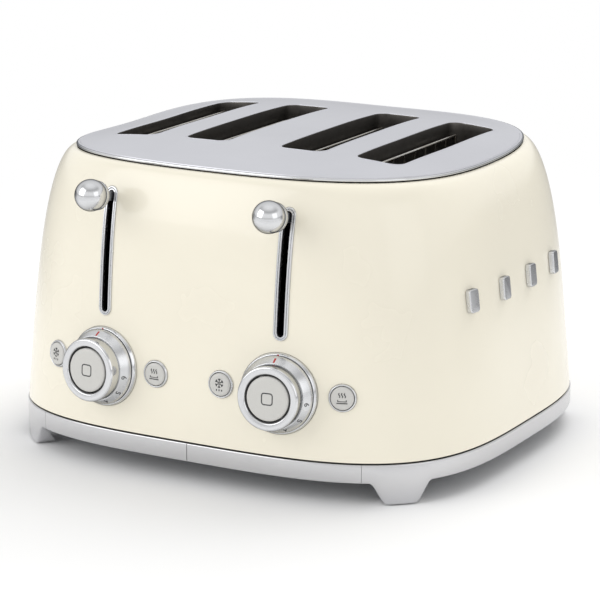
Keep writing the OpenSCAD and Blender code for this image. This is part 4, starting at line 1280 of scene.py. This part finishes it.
class TOASTER_OT_stage(bpy.types.Operator):
    """Set up the pale floor, the soft lights, the world and the camera"""
    bl_idname = "toaster.stage"
    bl_label = "Stage"
    bl_options = {"REGISTER", "UNDO"}

    def execute(self, context):
        scene = context.scene
        stage = scene.toaster_stage
        self.camera(scene, stage)
        self.floor(stage)
        self.world(scene)
        self.lights()
        scene.view_settings.view_transform = "Standard"
        return {"FINISHED"}

    def camera(self, scene, stage):
        a, e = stage.azimuth, stage.elevation
        back = Vector((math.sin(a) * math.cos(e), -math.cos(a) * math.cos(e), math.sin(e)))
        right = Vector((math.cos(a), math.sin(a), 0))
        up = back.cross(right)
        target = Vector((0, MID_Y, 107 * MM))
        aside, down = 1.0046 * MM, 21.4356 * MM
        data = bpy.data.cameras.new("camera")
        data.lens = stage.lens
        data.sensor_width = 36
        camera = new_object("camera", data)
        camera.location = target + back * stage.distance - right * aside - up * down
        camera.rotation_mode = "QUATERNION"
        camera.rotation_quaternion = (-back).to_track_quat("-Z", "Y")
        scene.camera = camera

    def floor(self, stage):
        half = stage.floor_size / 2
        data = bpy.data.meshes.new("floor")
        data.from_pydata([(-half, -half, 0), (half, -half, 0), (half, half, 0), (-half, half, 0)], [],
                         [(0, 1, 2, 3)])
        floor = new_object("floor", data)
        # Matt white paper that runs out into the bright background
        material = bpy.data.materials.new("paper_floor")
        material.use_nodes = True
        tree = material.node_tree
        tree.nodes.clear()
        fade_from, fade_to = 0.35, 0.9
        point = add(tree, "ShaderNodeTexCoord").outputs["Object"]
        away = add(tree, "ShaderNodeVectorMath", {0: point}, operation="LENGTH").outputs["Value"]
        fade = add(tree, "ShaderNodeMapRange", {"Value": away, "From Min": fade_from, "From Max": fade_to},
                   interpolation_type="SMOOTHSTEP").outputs["Result"]
        paper = add(tree, "ShaderNodeBsdfDiffuse", {"Color": (0.93, 0.93, 0.93, 1)})
        clear = add(tree, "ShaderNodeBsdfTransparent")
        mixed = add(tree, "ShaderNodeMixShader", {0: fade, 1: paper.outputs[0], 2: clear.outputs[0]})
        add(tree, "ShaderNodeOutputMaterial", {"Surface": mixed.outputs[0]})
        data.materials.append(material)

    def world(self, scene):
        """White for the camera; an even dome for soft light; for reflections a dome with a dark horizon."""
        world = bpy.data.worlds.new("studio")
        world.use_nodes = True
        tree = world.node_tree
        tree.nodes.clear()
        way = add(tree, "ShaderNodeTexCoord").outputs["Generated"]
        up = add(tree, "ShaderNodeSeparateXYZ", {0: way}).outputs["Z"]
        back = add(tree, "ShaderNodeVectorMath", {0: way, 1: (-0.3, 0.95, 0.0)}, operation="DOT_PRODUCT")
        low = steps(tree, up, [(-1, 0.8), (-0.3, 0.95), (-0.1, 0.95), (0.02, 0.6), (0.12, 0.95), (0.45, 1.0),
                               (0.7, 0.55), (1, 1.0)])
        far = steps(tree, up, [(-1, 0.6), (-0.28, 0.75), (-0.1, 0.3), (0.03, 0.25), (0.14, 0.8), (0.5, 0.9),
                               (1, 0.9)])
        share = steps(tree, back.outputs["Value"], [(-0.1, 0), (0.5, 1)])
        mirror = add(tree, "ShaderNodeMix", {0: share, 2: low, 3: far}, data_type="FLOAT").outputs[0]
        ray = add(tree, "ShaderNodeLightPath").outputs
        soft = add(tree, "ShaderNodeMix", {0: ray["Is Glossy Ray"], 2: 0.78, 3: mirror},
                   data_type="FLOAT").outputs[0]
        strength = add(tree, "ShaderNodeMix", {0: ray["Is Camera Ray"], 2: soft, 3: 1.0},
                       data_type="FLOAT").outputs[0]
        light = add(tree, "ShaderNodeBackground", {"Color": (1, 1, 1, 1), "Strength": strength})
        add(tree, "ShaderNodeOutputWorld", {"Surface": light.outputs[0]})
        scene.world = world

    def lights(self):
        middle = Vector((0, MID_Y, 0.1))
        # Each lamp's place and width in metres, and its power in watts
        lamps = {"key": ((-1.1, -1.5, 1.0), 1.5, 10.5), "fill": ((1.7, -0.6, 0.7), 1.1, 1.8),
                 "top": ((0.3, 1.1, 1.8), 1.5, 16.5)}
        for name, (place, size, power) in lamps.items():
            data = bpy.data.lights.new(name, "AREA")
            data.size = size
            data.energy = power
            lamp = new_object(name, data)
            lamp.location = place
            lamp.visible_glossy = name != "top"
            lamp.rotation_mode = "QUATERNION"
            lamp.rotation_quaternion = (middle - Vector(place)).to_track_quat("-Z", "Y")


def steps(tree, value, stops):
    """A smooth curve through (value, result) pairs, built as a row of map-range nodes."""
    found = stops[0][1]
    for (start, _), (end, result) in zip(stops, stops[1:]):
        found = add(tree, "ShaderNodeMapRange", {"Value": value, "From Min": start, "From Max": end,
                                                 "To Min": found, "To Max": result},
                    interpolation_type="SMOOTHSTEP").outputs["Result"]
    return found


OPERATORS = [TOASTER_OT_stage, TOASTER_OT_body_shell, TOASTER_OT_top_plate, TOASTER_OT_base,
             TOASTER_OT_lever_trims, TOASTER_OT_levers, TOASTER_OT_dials, TOASTER_OT_buttons,
             TOASTER_OT_side_tiles, TOASTER_OT_sheet_parts, TOASTER_OT_small_parts, TOASTER_OT_wire_parts]
GROUPS = {"toaster_body": ToasterBody, "toaster_plate": ToasterPlate, "toaster_base": ToasterBase,
          "toaster_controls": ToasterControls, "toaster_colours": ToasterColours,
          "toaster_stage": ToasterStage}


class TOASTER_PT_panel(bpy.types.Panel):
    """Lists the toaster's pieces and their sizes"""
    bl_label = "Retro Toaster"
    bl_idname = "TOASTER_PT_panel"
    bl_space_type = "VIEW_3D"
    bl_region_type = "UI"
    bl_category = "Toaster"

    def draw(self, context):
        for operator in OPERATORS:
            self.layout.operator(operator.bl_idname)
        for attribute, group in GROUPS.items():
            box = self.layout.box()
            for name in group.__annotations__:
                box.prop(getattr(context.scene, attribute), name)


def register():
    for found in [*GROUPS.values(), *OPERATORS, TOASTER_PT_panel]:
        bpy.utils.register_class(found)
    for attribute, group in GROUPS.items():
        setattr(bpy.types.Scene, attribute, bpy.props.PointerProperty(type=group))


def unregister():
    for attribute in GROUPS:
        delattr(bpy.types.Scene, attribute)
    for found in [TOASTER_PT_panel, *reversed(OPERATORS), *reversed(GROUPS.values())]:
        bpy.utils.unregister_class(found)


def main():
    register()
    for operator in OPERATORS:
        group, name = operator.bl_idname.split(".")
        getattr(getattr(bpy.ops, group), name)()


if __name__ == "__main__":
    main()
